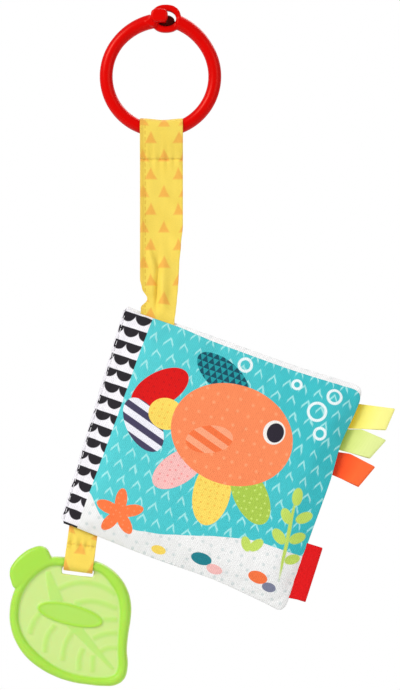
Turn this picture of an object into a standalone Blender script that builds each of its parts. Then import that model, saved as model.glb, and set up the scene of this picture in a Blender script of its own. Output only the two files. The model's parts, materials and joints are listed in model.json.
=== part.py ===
"""Crinkle cloth book that hangs from a ring, with a leaf teether on a loop under it.

Metres, +Z up. The origin is the centre of the hanging ring, and the front cover faces -Y.
The book hangs by its top seam, tilted in its own plane, with its spine at the left.
"""

from math import atan2, copysign, cos, exp, pi, radians, sin, sqrt, tan

import bmesh
import bpy
from mathutils import Matrix, Vector

for item in list(bpy.data.objects):
    bpy.data.objects.remove(item)

MM = 0.001

# Fits
SEAT_GAP = 0.3 * MM
RUNNING_GAP = 0.35 * MM
CUT_OVERRUN = 4.0 * MM
WELD = 0.001 * MM

# Hanging ring
RING_INSIDE_RADIUS = 24.4 * MM
RING_TUBE_RADIUS = 3.35 * MM
EYE_WIDTH = 15.4 * MM
EYE_HEIGHT = 14.3 * MM
EYE_THICKNESS = 4.4 * MM
EYE_EDGE = 0.8 * MM
EYE_HOLE_WIDTH = 10.4 * MM
EYE_HOLE_HEIGHT = 7.8 * MM
EYE_OFFSET = 2.8 * MM
EYE_RISE = 1.65 * MM
EYE_FULLNESS = 0.85
HOOK_LENGTH = 8.7 * MM
HOOK_HEIGHT = 6.9 * MM
HOOK_THICKNESS = 3.4 * MM
HOOK_EDGE = 0.9 * MM
HOOK_FULLNESS = 0.65
HOOK_RISE = 1.3 * MM
HOOK_GAP = 0.4 * MM
HOOK_NECK_HEIGHT = 4.4 * MM
HOOK_NECK_REACH = 3.2 * MM
PEG_LENGTH = 5.0 * MM
PEG_HEIGHT = 3.6 * MM
TOE_LENGTH = 8.4 * MM
TOE_HEIGHT = 5.2 * MM
TOE_DROP = 0.7 * MM
ARM_SPREAD = 1.2 * MM
ARM_SWELL = 0.13

# Hanger strap, folded round the ring and stitched under it
STRAP_WIDTH = 22.0 * MM
STRAP_THICKNESS = 1.2 * MM
STRAP_OFFSET = 0.5 * MM
STRAP_LENGTH = 79.05 * MM
STRAP_DRIFT = 1.8 * MM
STRAP_SEAM_WIDTH = 18.3 * MM
STRAP_FOLD = 1.5 * MM
STRAP_FOLD_WIDTH = 4.0 * MM
LOOP_WALL = 0.7 * MM
LOOP_DROP = 11.7 * MM
LOOP_SLACK = 0.25 * MM
SEAM_SWING = 0.9 * MM

# Sewing thread
THREAD_RADIUS = 0.25 * MM
STITCH_PITCH = 4.6 * MM
STITCH_SINK = 0.12 * MM

# Book
BOOK_WIDTH = 127.0 * MM
BOOK_HEIGHT = 118.0 * MM
BOOK_TILT = radians(19.1)
SKIN = 0.5 * MM
FILM = 0.12 * MM
COVER_THICKNESS = 4.2 * MM
PAGE_THICKNESS = 3.0 * MM
LEAF_GAP = 0.4 * MM
CROWN_WIDTH = 14.0 * MM
CORNER_RADIUS = 6.0 * MM
TOP_DIP = 2.4 * MM
TOP_DIP_FROM_CENTRE = 26.0 * MM
TOP_DIP_WIDTH = 26.0 * MM
COVER_DROP = 2.6 * MM
COVER_SHY = 0.8 * MM
STRAP_FROM_SPINE = 16.8 * MM
WADDING_INSET = 6.0 * MM
WADDING_GAP = 0.6 * MM
FILM_INSET = 7.5 * MM

# Spine
BINDING_WIDTH = 4.4 * MM
BINDING_WALL = 0.6 * MM
BINDING_ROUND = 1.0 * MM
HINGE_CLEARANCE = 3.0 * MM
PAGE_SEAT = 0.9 * MM
SPINE_STITCH_INSET = 3.2 * MM

# Ribbon tags in the page's right seam, and the label in the front cover's
RIBBON_LENGTH = 18.0 * MM
RIBBON_WALL = 0.3 * MM
RIBBON_HINGE_GAP = 0.75 * MM
LABEL_WIDTH = 29.2 * MM
LABEL_LENGTH = 7.2 * MM
LABEL_FROM_FOOT = 8.3 * MM

# Leaf loop, in the bottom seam
LEAF_LOOP_WIDTH = 15.0 * MM
LEAF_LOOP_LENGTH = 15.9 * MM
LEAF_LOOP_NECK = 6.0 * MM
LEAF_LOOP_FROM_SPINE = 13.2 * MM
LEAF_LOOP_WALL = 0.7 * MM

# Leaf teether
LEAF_TILT = radians(7.6)
LEAF_REACH = 58.0 * MM
LEAF_RIM_WIDTH = 5.1 * MM
LEAF_RIM_THICKNESS = 6.8 * MM
LEAF_WEB_THICKNESS = 3.0 * MM
LEAF_VEIN_RADIUS = 2.0 * MM
LEAF_PLATE_LENGTH = 34.8 * MM
LEAF_PLATE_WIDTH = 11.4 * MM
LEAF_PLATE_THICKNESS = 4.6 * MM
LEAF_PLATE_DROP = 26.2 * MM
LEAF_PLATE_SHIFT = 1.0 * MM
LEAF_PLATE_TURN = radians(6.2)
LEAF_PLATE_EDGE = 0.5 * MM
LEAF_STEM_EDGE = 1.6 * MM
SLOT_SIDE_ROOM = 0.6 * MM
SLOT_DROP_ROOM = 1.7 * MM
SLOT_ROUND = 1.4 * MM
SLOT_FLAT = 0.25 * MM

# Corners of the book's outline as shares of half its width and height, from its centre
CORNER_SHARES = {
    "top_left": (-1.028, 0.988),
    "top_right": (1.031, 1.010),
    "bottom_right": (0.995, -1.068),
    "bottom_left": (-0.951, -0.966),
}

# Where down its length the strap turns to the seam, folds, and lies flat again at its ends
STRAP_TURN_SHARE = 0.80
STRAP_FOLD_SHARE = 0.45
STRAP_CALM_SHARE = 0.12

# Ribbons down the right edge: start and width as shares of the book's height, slant, drawn-in end share
RIBBON_SHARES = {
    "ribbon_tag_yellow": (0.079, 0.118, radians(15), 0.82),
    "ribbon_tag_lime": (0.201, 0.099, radians(5), 0.95),
    "ribbon_tag_orange": (0.306, 0.102, radians(-3), 0.98),
}

# The strap's sides: how far down, then the left and the right side, as shares of its length and half width
STRAP_SIDE_SHARES = (
    (0.00, -1.00, 1.00),
    (0.14, -1.00, 1.00),
    (0.28, -1.00, 1.00),
    (0.42, -1.00, 1.00),
    (0.55, -1.00, 0.91),
    (0.67, -1.00, 0.83),
    (0.77, -1.00, 0.80),
    (0.83, -0.91, 0.77),
    (0.90, -0.66, 0.72),
    (0.95, -0.86, 0.67),
)

# Leaf's rim, clockwise from the right end of its loop bar: middle line as shares of its reach, and how wide
RIM_SHARES = (
    (0.232, -0.029, 1.05),
    (0.340, -0.109, 1.22),
    (0.413, -0.205, 1.24),
    (0.454, -0.318, 1.24),
    (0.466, -0.432, 1.18),
    (0.468, -0.571, 1.06),
    (0.478, -0.706, 1.00),
    (0.501, -0.852, 1.06),
    (0.484, -0.936, 1.14),
    (0.436, -0.976, 1.10),
    (0.363, -0.995, 1.00),
    (0.224, -1.004, 0.95),
    (0.074, -0.998, 0.98),
    (-0.067, -0.968, 1.04),
    (-0.195, -0.915, 1.14),
    (-0.308, -0.845, 1.20),
    (-0.406, -0.749, 1.12),
    (-0.481, -0.618, 1.02),
    (-0.508, -0.483, 1.00),
    (-0.500, -0.353, 1.00),
    (-0.468, -0.250, 1.00),
    (-0.405, -0.145, 1.00),
    (-0.322, -0.062, 1.00),
    (-0.245, -0.016, 1.00),
)
STEM_SHARES = (
    (-0.526, -0.288),
    (-0.574, -0.224),
    (-0.595, -0.138),
    (-0.576, -0.074),
    (-0.493, 0.036),
    (-0.428, 0.084),
    (-0.352, 0.111),
    (-0.300, 0.096),
    (-0.262, 0.048),
    (-0.235, -0.010),
    (-0.380, -0.130),
    (-0.470, -0.250),
)
VEIN_SHARES = (
    ((-0.245, -0.080), (-0.224, -0.220), (-0.175, -0.350)),
    ((0.020, -0.540), (0.178, -0.657), (0.252, -0.753), (0.420, -0.900)),
    ((-0.165, -0.330), (-0.100, -0.200), (0.010, -0.170), (0.110, -0.155), (0.276, -0.200), (0.330, -0.260)),
    ((0.030, -0.350), (0.148, -0.302), (0.383, -0.328)),
    ((0.250, -0.448), (0.420, -0.424)),
    ((0.160, -0.650), (0.255, -0.576), (0.420, -0.550)),
    ((0.240, -0.790), (0.345, -0.707), (0.430, -0.688)),
    ((-0.280, -0.450), (-0.334, -0.548), (-0.370, -0.700)),
    ((-0.180, -0.530), (-0.233, -0.641), (-0.235, -0.830)),
    ((-0.040, -0.560), (-0.067, -0.690), (-0.080, -0.920)),
    ((0.084, -0.740), (0.102, -0.960)),
    ((0.178, -0.780), (0.255, -0.970)),
)

RING_RADIUS = RING_INSIDE_RADIUS + RING_TUBE_RADIUS
HALF_WIDTH = BOOK_WIDTH / 2
HALF_HEIGHT = BOOK_HEIGHT / 2
EDGE_THICKNESS = 2 * SKIN + RUNNING_GAP
PAGE_EDGE = SKIN + SEAT_GAP / 2
COVER_INNER = PAGE_THICKNESS / 2 + LEAF_GAP
HINGE_INSET = BINDING_WIDTH / 2
COVER_START = HINGE_INSET + HINGE_CLEARANCE
BINDING_OUTER = COVER_INNER + EDGE_THICKNESS
RIBBON_HALF = 1.5 * RIBBON_WALL

pivots = {}


def linear(hex_colour):
    """Colour from its hex form, in linear light."""
    shares = [int(hex_colour[i : i + 2], 16) / 255 for i in (0, 2, 4)]
    return [c / 12.92 if c < 0.04045 else ((c + 0.055) / 1.055) ** 2.4 for c in shares] + [1]


def finish(name, hex_colour, roughness, coat=0.0):
    material = bpy.data.materials.new(name)
    material.use_nodes = True
    shader = material.node_tree.nodes["Principled BSDF"]
    shader.inputs["Base Color"].default_value = linear(hex_colour)
    shader.inputs["Roughness"].default_value = roughness
    shader.inputs["Metallic"].default_value = 0
    shader.inputs["Coat Weight"].default_value = coat
    material.diffuse_color = linear(hex_colour)
    return material


def new_collection(name):
    collection = bpy.data.collections.new(name)
    bpy.context.scene.collection.children.link(collection)
    return collection


def add_pivot(name, frame, parent=None):
    """An empty on a joint's axis, hung from the pivot that carries it."""
    empty = bpy.data.objects.new(name, None)
    empty.empty_display_size = STRAP_WIDTH / 2
    parts.objects.link(empty)
    pivots[name] = frame
    hang(empty, frame, parent)
    return empty


def hang(piece, frame, parent):
    """Place a piece by its frame, and let it follow its parent pivot from there."""
    piece.matrix_basis = frame
    if parent is not None:
        piece.parent = parent
        piece.matrix_parent_inverse = pivots[parent.name].inverted()


def add_part(name, mesh, frame, parent, material, smooth_angle=radians(40)):
    piece = bpy.data.objects.new(name, mesh)
    parts.objects.link(piece)
    hang(piece, frame, parent)
    piece.data.materials.clear()
    piece.data.materials.append(material)
    mesh.shade_smooth()
    mesh.set_sharp_from_angle(angle=smooth_angle)
    return piece


def mesh_from_curve(curve, turn=None):
    """The curve's surface as a welded mesh, and the curve removed."""
    holder = bpy.data.objects.new(curve.name, curve)
    parts.objects.link(holder)
    graph = bpy.context.evaluated_depsgraph_get()
    mesh = bpy.data.meshes.new_from_object(holder.evaluated_get(graph))
    bpy.data.objects.remove(holder)
    bpy.data.curves.remove(curve)
    shape = bmesh.new()
    shape.from_mesh(mesh)
    bmesh.ops.remove_doubles(shape, verts=shape.verts, dist=WELD)
    if turn is not None:
        bmesh.ops.transform(shape, matrix=turn, verts=shape.verts)
    bmesh.ops.recalc_face_normals(shape, faces=shape.faces)
    shape.to_mesh(mesh)
    shape.free()
    return mesh


def fill_spline(curve, kind, points, closed, swells=None):
    spline = curve.splines.new(kind)
    if kind == "BEZIER":
        knots = spline.bezier_points
        knots.add(len(points) - 1)
        for knot, place in zip(knots, points):
            knot.co = place
            knot.handle_left_type = knot.handle_right_type = "AUTO"
    else:
        knots = spline.points
        knots.add(len(points) - 1)
        for knot, place in zip(knots, points):
            knot.co = (*place, 1)
    for knot, swell in zip(knots, swells or ()):
        knot.radius = swell
    spline.use_cyclic_u = closed


def tube(name, points, radius, sides_level=1, kind="POLY", closed=False, steps=4, swells=None):
    """Round tube along a line of points, its radius times each point's swell."""
    curve = bpy.data.curves.new(name, "CURVE")
    curve.dimensions = "3D"
    curve.resolution_u = steps
    curve.bevel_depth = radius
    curve.bevel_resolution = sides_level
    curve.use_fill_caps = True
    fill_spline(curve, kind, points, closed, swells)
    return mesh_from_curve(curve)


def slab(name, outlines, thickness, edge=0.0, kind="POLY", steps=4, edge_level=1):
    """Flat outlines given thickness, with rounded edges that stay inside the outline."""
    curve = bpy.data.curves.new(name, "CURVE")
    curve.dimensions = "2D"
    curve.fill_mode = "BOTH"
    curve.resolution_u = steps
    curve.extrude = thickness / 2 - edge
    curve.bevel_depth = edge
    curve.bevel_resolution = edge_level
    curve.offset = -edge
    for outline in outlines:
        fill_spline(curve, kind, [(x, y, 0) for x, y in outline], True)
    return curve


ACROSS = Matrix(((0, 0, 1, 0), (1, 0, 0, 0), (0, 1, 0, 0), (0, 0, 0, 1)))
UPRIGHT = Matrix(((1, 0, 0, 0), (0, 0, -1, 0), (0, 1, 0, 0), (0, 0, 0, 1)))
LENGTHWISE = Matrix.Identity(4)


def arc(centre, radius, start, end, steps):
    turn = [start + (end - start) * k / steps for k in range(steps + 1)]
    return [(centre[0] + radius * cos(a), centre[1] + radius * sin(a)) for a in turn]


def oval(centre, width, height, fullness=1.0, steps=28):
    """Outline of an oval, squarer as its fullness drops below one."""
    outline = []
    for k in range(steps):
        x, z = cos(2 * pi * k / steps), sin(2 * pi * k / steps)
        across, up = copysign(abs(x) ** fullness, x), copysign(abs(z) ** fullness, z)
        outline.append((centre[0] + width / 2 * across, centre[1] + height / 2 * up))
    return outline


def rounded_box(name, low, high, edge):
    shape = bmesh.new()
    bmesh.ops.create_cube(shape, size=1)
    middle = [(a + b) / 2 for a, b in zip(low, high)]
    size = [b - a for a, b in zip(low, high)]
    for corner in shape.verts:
        corner.co = [m + c * s for m, c, s in zip(middle, corner.co, size)]
    bmesh.ops.bevel(shape, geom=shape.edges[:], offset=edge, segments=2, affect="EDGES", profile=0.5)
    mesh = bpy.data.meshes.new(name)
    shape.to_mesh(mesh)
    shape.free()
    return mesh


def cutter(name, mesh, frame):
    tool = bpy.data.objects.new(name, mesh)
    cutters.objects.link(tool)
    tool.matrix_basis = frame
    tool.hide_render = True
    tool.display_type = "WIRE"
    return tool


def combine(piece, tool, operation, solver="EXACT"):
    join = piece.modifiers.new(tool.name, "BOOLEAN")
    join.operation = operation
    join.solver = solver
    join.object = tool


# Hanging ring
def make_hanging_ring(material):
    """One springy moulding: the left arm ends in a hooked stud, the right arm in the eye that it holds."""
    eye_height = RING_RADIUS + EYE_RISE
    eye_left = EYE_OFFSET - EYE_WIDTH / 2
    start = pi / 2 + atan2(-eye_left + HOOK_GAP, RING_RADIUS)
    end = 2 * pi + atan2(eye_height, EYE_OFFSET + EYE_WIDTH / 2)
    bends = 56
    route, swells = [], []
    for k in range(bends + 1):
        turn = start + (end - start) * k / bends
        near_hook, near_eye = max(0, 1 - 8 * k / bends), max(0, 8 * k / bends - 7)
        radius = RING_RADIUS + ARM_SPREAD * (near_hook**2 / 2 + near_eye**1.5)
        route.append((radius * cos(turn), 0, radius * sin(turn)))
        swells.append(1 + ARM_SWELL * max(near_hook, near_eye))
    arms = tube("arms", route, RING_TUBE_RADIUS, sides_level=4, swells=swells)
    ring = add_part("hanging_ring", arms, Matrix(), None, material, smooth_angle=radians(50))
    centre = (EYE_OFFSET, eye_height)
    eye = mesh_from_curve(
        slab("eye", [oval(centre, EYE_WIDTH, EYE_HEIGHT, EYE_FULLNESS)], EYE_THICKNESS, EYE_EDGE), UPRIGHT
    )
    hole_outline = oval(centre, EYE_HOLE_WIDTH, EYE_HOLE_HEIGHT)
    hole = mesh_from_curve(slab("eye_hole", [hole_outline], 2 * (RING_TUBE_RADIUS + CUT_OVERRUN)), UPRIGHT)
    combine(ring, cutter("eye_cutter", eye, Matrix()), "UNION")
    combine(ring, cutter("eye_hole_cutter", hole, Matrix()), "DIFFERENCE")

    stud_back = -EYE_THICKNESS / 2 - HOOK_GAP
    stud_middle = (eye_left + HOOK_LENGTH / 2, eye_height + HOOK_RISE)
    stud_outline = oval(stud_middle, HOOK_LENGTH, HOOK_HEIGHT, HOOK_FULLNESS)
    stud = mesh_from_curve(slab("stud", [stud_outline], HOOK_THICKNESS, HOOK_EDGE, edge_level=2), UPRIGHT)
    stud.transform(Matrix.Translation((0, stud_back - HOOK_THICKNESS / 2, 0)))
    neck_middle = RING_RADIUS
    neck = rounded_box(
        "stud_neck",
        (eye_left - HOOK_NECK_REACH, stud_back - HOOK_THICKNESS / 2, neck_middle - HOOK_NECK_HEIGHT / 2),
        (eye_left + HOOK_NECK_REACH, stud_back, neck_middle + HOOK_NECK_HEIGHT / 2),
        HOOK_EDGE / 2,
    )
    peg_left = EYE_OFFSET - EYE_HOLE_WIDTH / 2 + HOOK_GAP
    peg = rounded_box(
        "stud_peg",
        (peg_left, stud_back - HOOK_THICKNESS / 2, eye_height - PEG_HEIGHT / 2),
        (peg_left + PEG_LENGTH, EYE_THICKNESS / 2, eye_height + PEG_HEIGHT / 2),
        HOOK_EDGE / 2,
    )
    toe_middle = eye_height - TOE_DROP
    toe = rounded_box(
        "stud_toe",
        (peg_left + HOOK_GAP, 0, toe_middle - TOE_HEIGHT / 2),
        (peg_left + TOE_LENGTH, EYE_THICKNESS / 2 + HOOK_GAP, toe_middle + TOE_HEIGHT / 2),
        HOOK_EDGE,
    )
    for name, shape in (("stud", stud), ("neck", neck), ("peg", peg), ("toe", toe)):
        combine(ring, cutter(f"{name}_cutter", shape, Matrix()), "UNION", "MANIFOLD")


# Hanger strap
def make_hanger_loop(pivot, cloth):
    """The strap's fold round the ring: a drop-shaped channel, closed at the stitched row."""
    half = STRAP_WIDTH / 2
    room = RING_TUBE_RADIUS + RUNNING_GAP
    crest = RING_RADIUS - sqrt(RING_INSIDE_RADIUS**2 - half**2) + RUNNING_GAP
    bottom = -(RING_TUBE_RADIUS + LOOP_DROP) + SEAM_SWING
    tip = bottom + 2 * LOOP_WALL
    inner = arc((0, crest - room), room, 0, pi, 10)
    inner += [(-room, -LOOP_WALL), (-LOOP_SLACK, tip), (LOOP_SLACK, tip), (room, -LOOP_WALL)]
    outer = arc((0, crest - room), room + LOOP_WALL, 0, pi, 12)
    outer += [
        (-room - LOOP_WALL, -LOOP_WALL),
        (-LOOP_SLACK - LOOP_WALL, bottom),
        (LOOP_SLACK + LOOP_WALL, bottom),
        (room + LOOP_WALL, -LOOP_WALL),
    ]
    frame = Matrix.Translation((STRAP_OFFSET, 0, -RING_RADIUS))
    mesh = mesh_from_curve(slab("hanger_loop", [outer, inner], STRAP_WIDTH), ACROSS)
    add_part("hanger_loop", mesh, frame, pivot, cloth)
    return frame @ Matrix.Translation((0, 0, bottom + 2 * THREAD_RADIUS))


def make_hanger_stitching(pivot, frame, thread):
    """The row that closes the strap's fold, front and back, just above the strap's hinge."""
    flare = RING_TUBE_RADIUS / LOOP_DROP
    front = LOOP_SLACK + LOOP_WALL + 3 * THREAD_RADIUS * flare + SEAT_GAP + THREAD_RADIUS
    length = STRAP_WIDTH - 2 * THREAD_RADIUS
    sew("hanger_stitching", length, front, (1, 0), frame, pivot, thread, STITCH_PITCH / 2)


def sew(name, length, front, run, frame, pivot, thread, pitch=STITCH_PITCH):
    """A row of thread on each face of what it sews, dipping towards the cloth at each stitch."""
    steps = 2 * max(2, round(length / pitch))
    for side, facing in (("front", -1), ("back", 1)):
        route = []
        for k in range(steps + 1):
            along = length * (k / steps - 0.5)
            dip = STITCH_SINK if k % 2 else 0
            route.append((along * run[0], facing * (front - dip), along * run[1]))
        add_part(f"{name}_{side}", tube(name, route, THREAD_RADIUS), frame, pivot, thread)


def strap_row(rows, share):
    """Left and right side of the strap at a share of its length."""
    for upper, lower in zip(rows, rows[1:]):
        if share <= lower[0]:
            mix = (share - upper[0]) / (lower[0] - upper[0])
            return [a + (b - a) * mix for a, b in zip(upper[1:], lower[1:])]
    return rows[-1][1:]


def make_hanger_strap(pivot, frame, seam_tilt, cloth):
    """The doubled strap from the stitched row to the top seam, turning to the seam's slope at its foot."""
    columns, rows = 8, 16
    shape = bmesh.new()
    bmesh.ops.create_grid(shape, x_segments=columns, y_segments=rows, size=1)
    seam_half = STRAP_SEAM_WIDTH / 2 * cos(seam_tilt)
    seam = [(k * seam_half - STRAP_DRIFT) / (STRAP_WIDTH / 2) for k in (-1, 1)]
    sides = [*STRAP_SIDE_SHARES, (1.0, *seam)]
    for point in shape.verts:
        down = (1 - point.co.y) / 2
        left, right = strap_row(sides, down)
        sideways = (left + (right - left) * (point.co.x + 1) / 2) * STRAP_WIDTH / 2
        turn = max(0, (down - STRAP_TURN_SHARE) / (1 - STRAP_TURN_SHARE)) ** 2
        slope = -(sideways + STRAP_DRIFT) * tan(seam_tilt) * turn
        calm = min(1, down / STRAP_CALM_SHARE, (1 - down) / STRAP_CALM_SHARE)
        deep = STRAP_FOLD * max(0, down - STRAP_FOLD_SHARE) / (1 - STRAP_FOLD_SHARE)
        fold = -deep * exp(-((sideways + STRAP_DRIFT) / STRAP_FOLD_WIDTH) ** 2)
        sway = STRAP_FOLD / 2 * sin(pi * down) * cos(pi * sideways / STRAP_WIDTH)
        point.co = (sideways, calm * (fold + sway), -down * STRAP_LENGTH + slope)
    mesh = bpy.data.meshes.new("hanger_strap")
    shape.to_mesh(mesh)
    shape.free()
    strap = add_part("hanger_strap", mesh, frame, pivot, cloth)
    thicken(strap, STRAP_THICKNESS, 0)


def thicken(piece, thickness, offset=-1.0):
    shell = piece.modifiers.new("thickness", "SOLIDIFY")
    shell.thickness = thickness
    shell.offset = offset
    shell.use_even_offset = True
    shell.use_quality_normals = True


# Book
def corner(name, drop=0.0):
    across, up = CORNER_SHARES[name]
    return Vector((across * HALF_WIDTH, up * HALF_HEIGHT - drop))


def outline_corners(start, top_drop=0.0, shy=0.0):
    """Corners of a cloth leaf that starts a distance in from the spine's outer edge."""
    inset, short = Vector((start, 0)), Vector((shy, 0))
    return (
        corner("bottom_left") + inset,
        corner("bottom_right") - short,
        corner("top_right", top_drop) - short,
        corner("top_left", top_drop) + inset,
    )


def plan_point(corners, across, up):
    """Place on a leaf at shares from -1 to 1: outer corners round, the top drawn down beside its middle."""
    edge_a = 1 - CORNER_RADIUS / HALF_WIDTH
    edge_b = 1 - CORNER_RADIUS / HALF_HEIGHT
    a = (across - edge_a) / (1 - edge_a)
    b = (abs(up) - edge_b) / (1 - edge_b)
    if a > 0 and b > 0:
        round_a, round_b = a * sqrt(1 - b * b / 2), b * sqrt(1 - a * a / 2)
        across = edge_a + round_a * (1 - edge_a)
        up = (edge_b + round_b * (1 - edge_b)) * (1 if up > 0 else -1)
    low_left, low_right, high_right, high_left = corners
    low = low_left.lerp(low_right, (across + 1) / 2)
    high = high_left.lerp(high_right, (across + 1) / 2)
    place = low.lerp(high, (up + 1) / 2)
    dip = TOP_DIP * exp(-(((place.x - TOP_DIP_FROM_CENTRE) / TOP_DIP_WIDTH) ** 2))
    return place - Vector((0, dip * max(0, up) ** 3))


def crown(across, up):
    """How full a leaf is at shares from -1 to 1: none at its seams, all in the flat middle."""
    full = 1.0
    for share, half in ((across, HALF_WIDTH), (up, HALF_HEIGHT)):
        inward = min(1, (1 - abs(share)) * half / CROWN_WIDTH)
        full *= 1 - (1 - inward) ** 2.2
    return full


def spread(share):
    """Even shares from -1 to 1 gathered towards the seams, where the leaf curves most."""
    return sin(pi / 2 * share)


def leaf_sheet(name, corners, depth, facing, segments):
    """A grid laid over a leaf's plan, at a depth that a function of the shares gives."""
    shape = bmesh.new()
    bmesh.ops.create_grid(shape, x_segments=segments, y_segments=segments, size=1)
    for point in shape.verts:
        across, up = spread(point.co.x), spread(point.co.y)
        place = plan_point(corners, across, up)
        point.co = (place.x, facing * depth(across, up), place.y)
    if facing > 0:
        bmesh.ops.reverse_faces(shape, faces=shape.faces)
    mesh = bpy.data.meshes.new(name)
    shape.to_mesh(mesh)
    shape.free()
    return mesh


def make_panel(name, corners, depth, facing, pivot, cloth, segments=11, smooth=0):
    mesh = leaf_sheet(name, corners, depth, facing, segments)
    panel = add_part(name, mesh, book_frame, pivot, cloth, smooth_angle=radians(60))
    thicken(panel, SKIN)
    if smooth:
        soft = panel.modifiers.new("soft", "SUBSURF")
        soft.levels = soft.render_levels = smooth
    return panel


def inset_corners(corners, inset):
    """Corners moved in from each side by the same distance."""
    moves = ((1, 1), (-1, 1), (-1, -1), (1, -1))
    return tuple(c + Vector((x * inset, y * inset)) for c, (x, y) in zip(corners, moves))


def make_wadding(name, corners, low, high, facing, pivot, fibre):
    """Soft filling between two depths, drawn back from the seams."""
    shape = bmesh.new()
    bmesh.ops.create_grid(shape, x_segments=7, y_segments=7, size=1)
    inner = inset_corners(corners, WADDING_INSET)
    shares = 1 - WADDING_INSET / HALF_WIDTH
    rim = bmesh.ops.extrude_face_region(shape, geom=shape.faces[:])
    raised = {v for v in rim["geom"] if isinstance(v, bmesh.types.BMVert)}
    for point in shape.verts:
        across, up = spread(point.co.x), spread(point.co.y)
        place = plan_point(inner, across, up)
        level = high(across * shares, up * shares) if point in raised else low
        point.co = (place.x, facing * level, place.y)
    bmesh.ops.recalc_face_normals(shape, faces=shape.faces)
    mesh = bpy.data.meshes.new(name)
    shape.to_mesh(mesh)
    shape.free()
    add_part(name, mesh, book_frame, pivot, fibre)


def make_film(name, corners, level, facing, pivot, film):
    shape = bmesh.new()
    bmesh.ops.create_grid(shape, x_segments=4, y_segments=4, size=1)
    inner = inset_corners(corners, FILM_INSET)
    for point in shape.verts:
        place = plan_point(inner, point.co.x, point.co.y)
        point.co = (place.x, facing * level, place.y)
    if facing > 0:
        bmesh.ops.reverse_faces(shape, faces=shape.faces)
    mesh = bpy.data.meshes.new(name)
    shape.to_mesh(mesh)
    shape.free()
    sheet = add_part(name, mesh, book_frame, pivot, film)
    thicken(sheet, FILM)


def make_cover(side, facing, pivot, shortfall, smooth, finishes):
    """A cover: printed face, lining, and the film and wadding between them."""
    corners = outline_corners(COVER_START, *shortfall)

    def face_depth(across, up):
        full = COVER_THICKNESS - EDGE_THICKNESS
        return COVER_INNER + EDGE_THICKNESS + full * crown(across, up)

    def lining_depth(_across, _up):
        return COVER_INNER + SKIN

    def wadding_depth(across, up):
        return face_depth(across, up) - SKIN - WADDING_GAP

    film_level = lining_depth(0, 0) + SEAT_GAP + FILM
    segments = 11 if smooth else 12
    make_panel(f"{side}_cover_face", corners, face_depth, facing, pivot, finishes[0], segments, smooth)
    make_panel(f"{side}_cover_lining", corners, lining_depth, facing, pivot, finishes[1])
    make_film(f"{side}_cover_crinkle_film", corners, film_level, facing, pivot, finishes[2])
    low = film_level + SEAT_GAP
    make_wadding(f"{side}_cover_wadding", corners, low, wadding_depth, facing, pivot, finishes[3])


def make_page(pivot, finishes):
    """The white leaf between the covers, sewn into the spine."""
    corners = outline_corners(PAGE_SEAT)

    def depth(across, up):
        return PAGE_EDGE + (PAGE_THICKNESS / 2 - PAGE_EDGE) * crown(across, up)

    def wadding_depth(across, up):
        return depth(across, up) - SKIN - SEAT_GAP

    make_panel("page_front", corners, depth, -1, pivot, finishes[0])
    make_panel("page_back", corners, depth, 1, pivot, finishes[0])
    film_level = wadding_depth(0, 0) / 2
    make_film("page_crinkle_film", corners, film_level, 1, pivot, finishes[1])
    low = -(film_level - FILM - SEAT_GAP)
    make_wadding("page_wadding", corners, low, wadding_depth, -1, pivot, finishes[2])


def make_spine(pivot, frame, length, cloth, thread):
    """The scalloped cloth round the sewn edge, and the thread through it."""
    left, right = -HINGE_INSET, BINDING_WIDTH - HINGE_INSET
    out, wall, turn = BINDING_OUTER, BINDING_WALL, BINDING_ROUND
    outer = [(right, -out), (right, -out + wall), (left + wall + turn, -out + wall)]
    outer += arc((left + wall + turn / 2, -out + wall + turn / 2), turn / 2, 1.5 * pi, pi, 2)
    outer += arc((left + wall + turn / 2, out - wall - turn / 2), turn / 2, pi, 0.5 * pi, 2)
    outer += [(right, out - wall), (right, out)]
    outer += arc((left + turn, out - turn), turn, 0.5 * pi, pi, 4)
    outer += arc((left + turn, -out + turn), turn, pi, 1.5 * pi, 4)
    mesh = mesh_from_curve(slab("spine_binding", [outer], length), LENGTHWISE)
    add_part("spine_binding", mesh, frame, pivot, cloth)
    shift = Matrix.Translation((SPINE_STITCH_INSET - HINGE_INSET, 0, 0))
    front = out + SEAT_GAP + THREAD_RADIUS
    sew("spine_stitching", length - 2 * STITCH_PITCH, front, (0, 1), frame @ shift, pivot, thread)


# Tags in the right seams
def folded_tag(name, length, width, slant, end_share, frame, pivot, cloth):
    """A ribbon folded double: its fold outward, its cut ends at the seam."""
    half, gap = RIBBON_HALF, RIBBON_WALL / 2
    outline = [(0, half), (0, gap), (length - half, gap), (length - half, -gap), (0, -gap), (0, -half)]
    outline += arc((length - half, 0), half, -pi / 2, pi / 2, 6)
    mesh = mesh_from_curve(slab(name, [outline], width), LENGTHWISE)
    for point in mesh.vertices:
        outward = point.co.x / length
        point.co.z = point.co.z * (1 + (end_share - 1) * outward) + point.co.x * tan(slant)
    add_part(name, mesh, frame, pivot, cloth)


def edge_frame(top, bottom, outward, depth):
    """Frame with Z up an edge and X away from the book, set off the edge by a distance."""
    along = (top - bottom).normalized()
    away = Vector((along.y, -along.x))
    middle = (top + bottom) / 2 + away * outward
    turn = Matrix.Rotation(atan2(along.x, along.y), 4, "Y")
    return book_frame @ Matrix.Translation((middle.x, depth, middle.y)) @ turn


def right_edge_line(start_share, end_share, *shortfall):
    """Chord of the right seam between two shares of the book's height, from its top."""
    corners = outline_corners(COVER_START, *shortfall)
    return [plan_point(corners, 1, 1 - 2 * share) for share in (start_share, end_share)]


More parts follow.
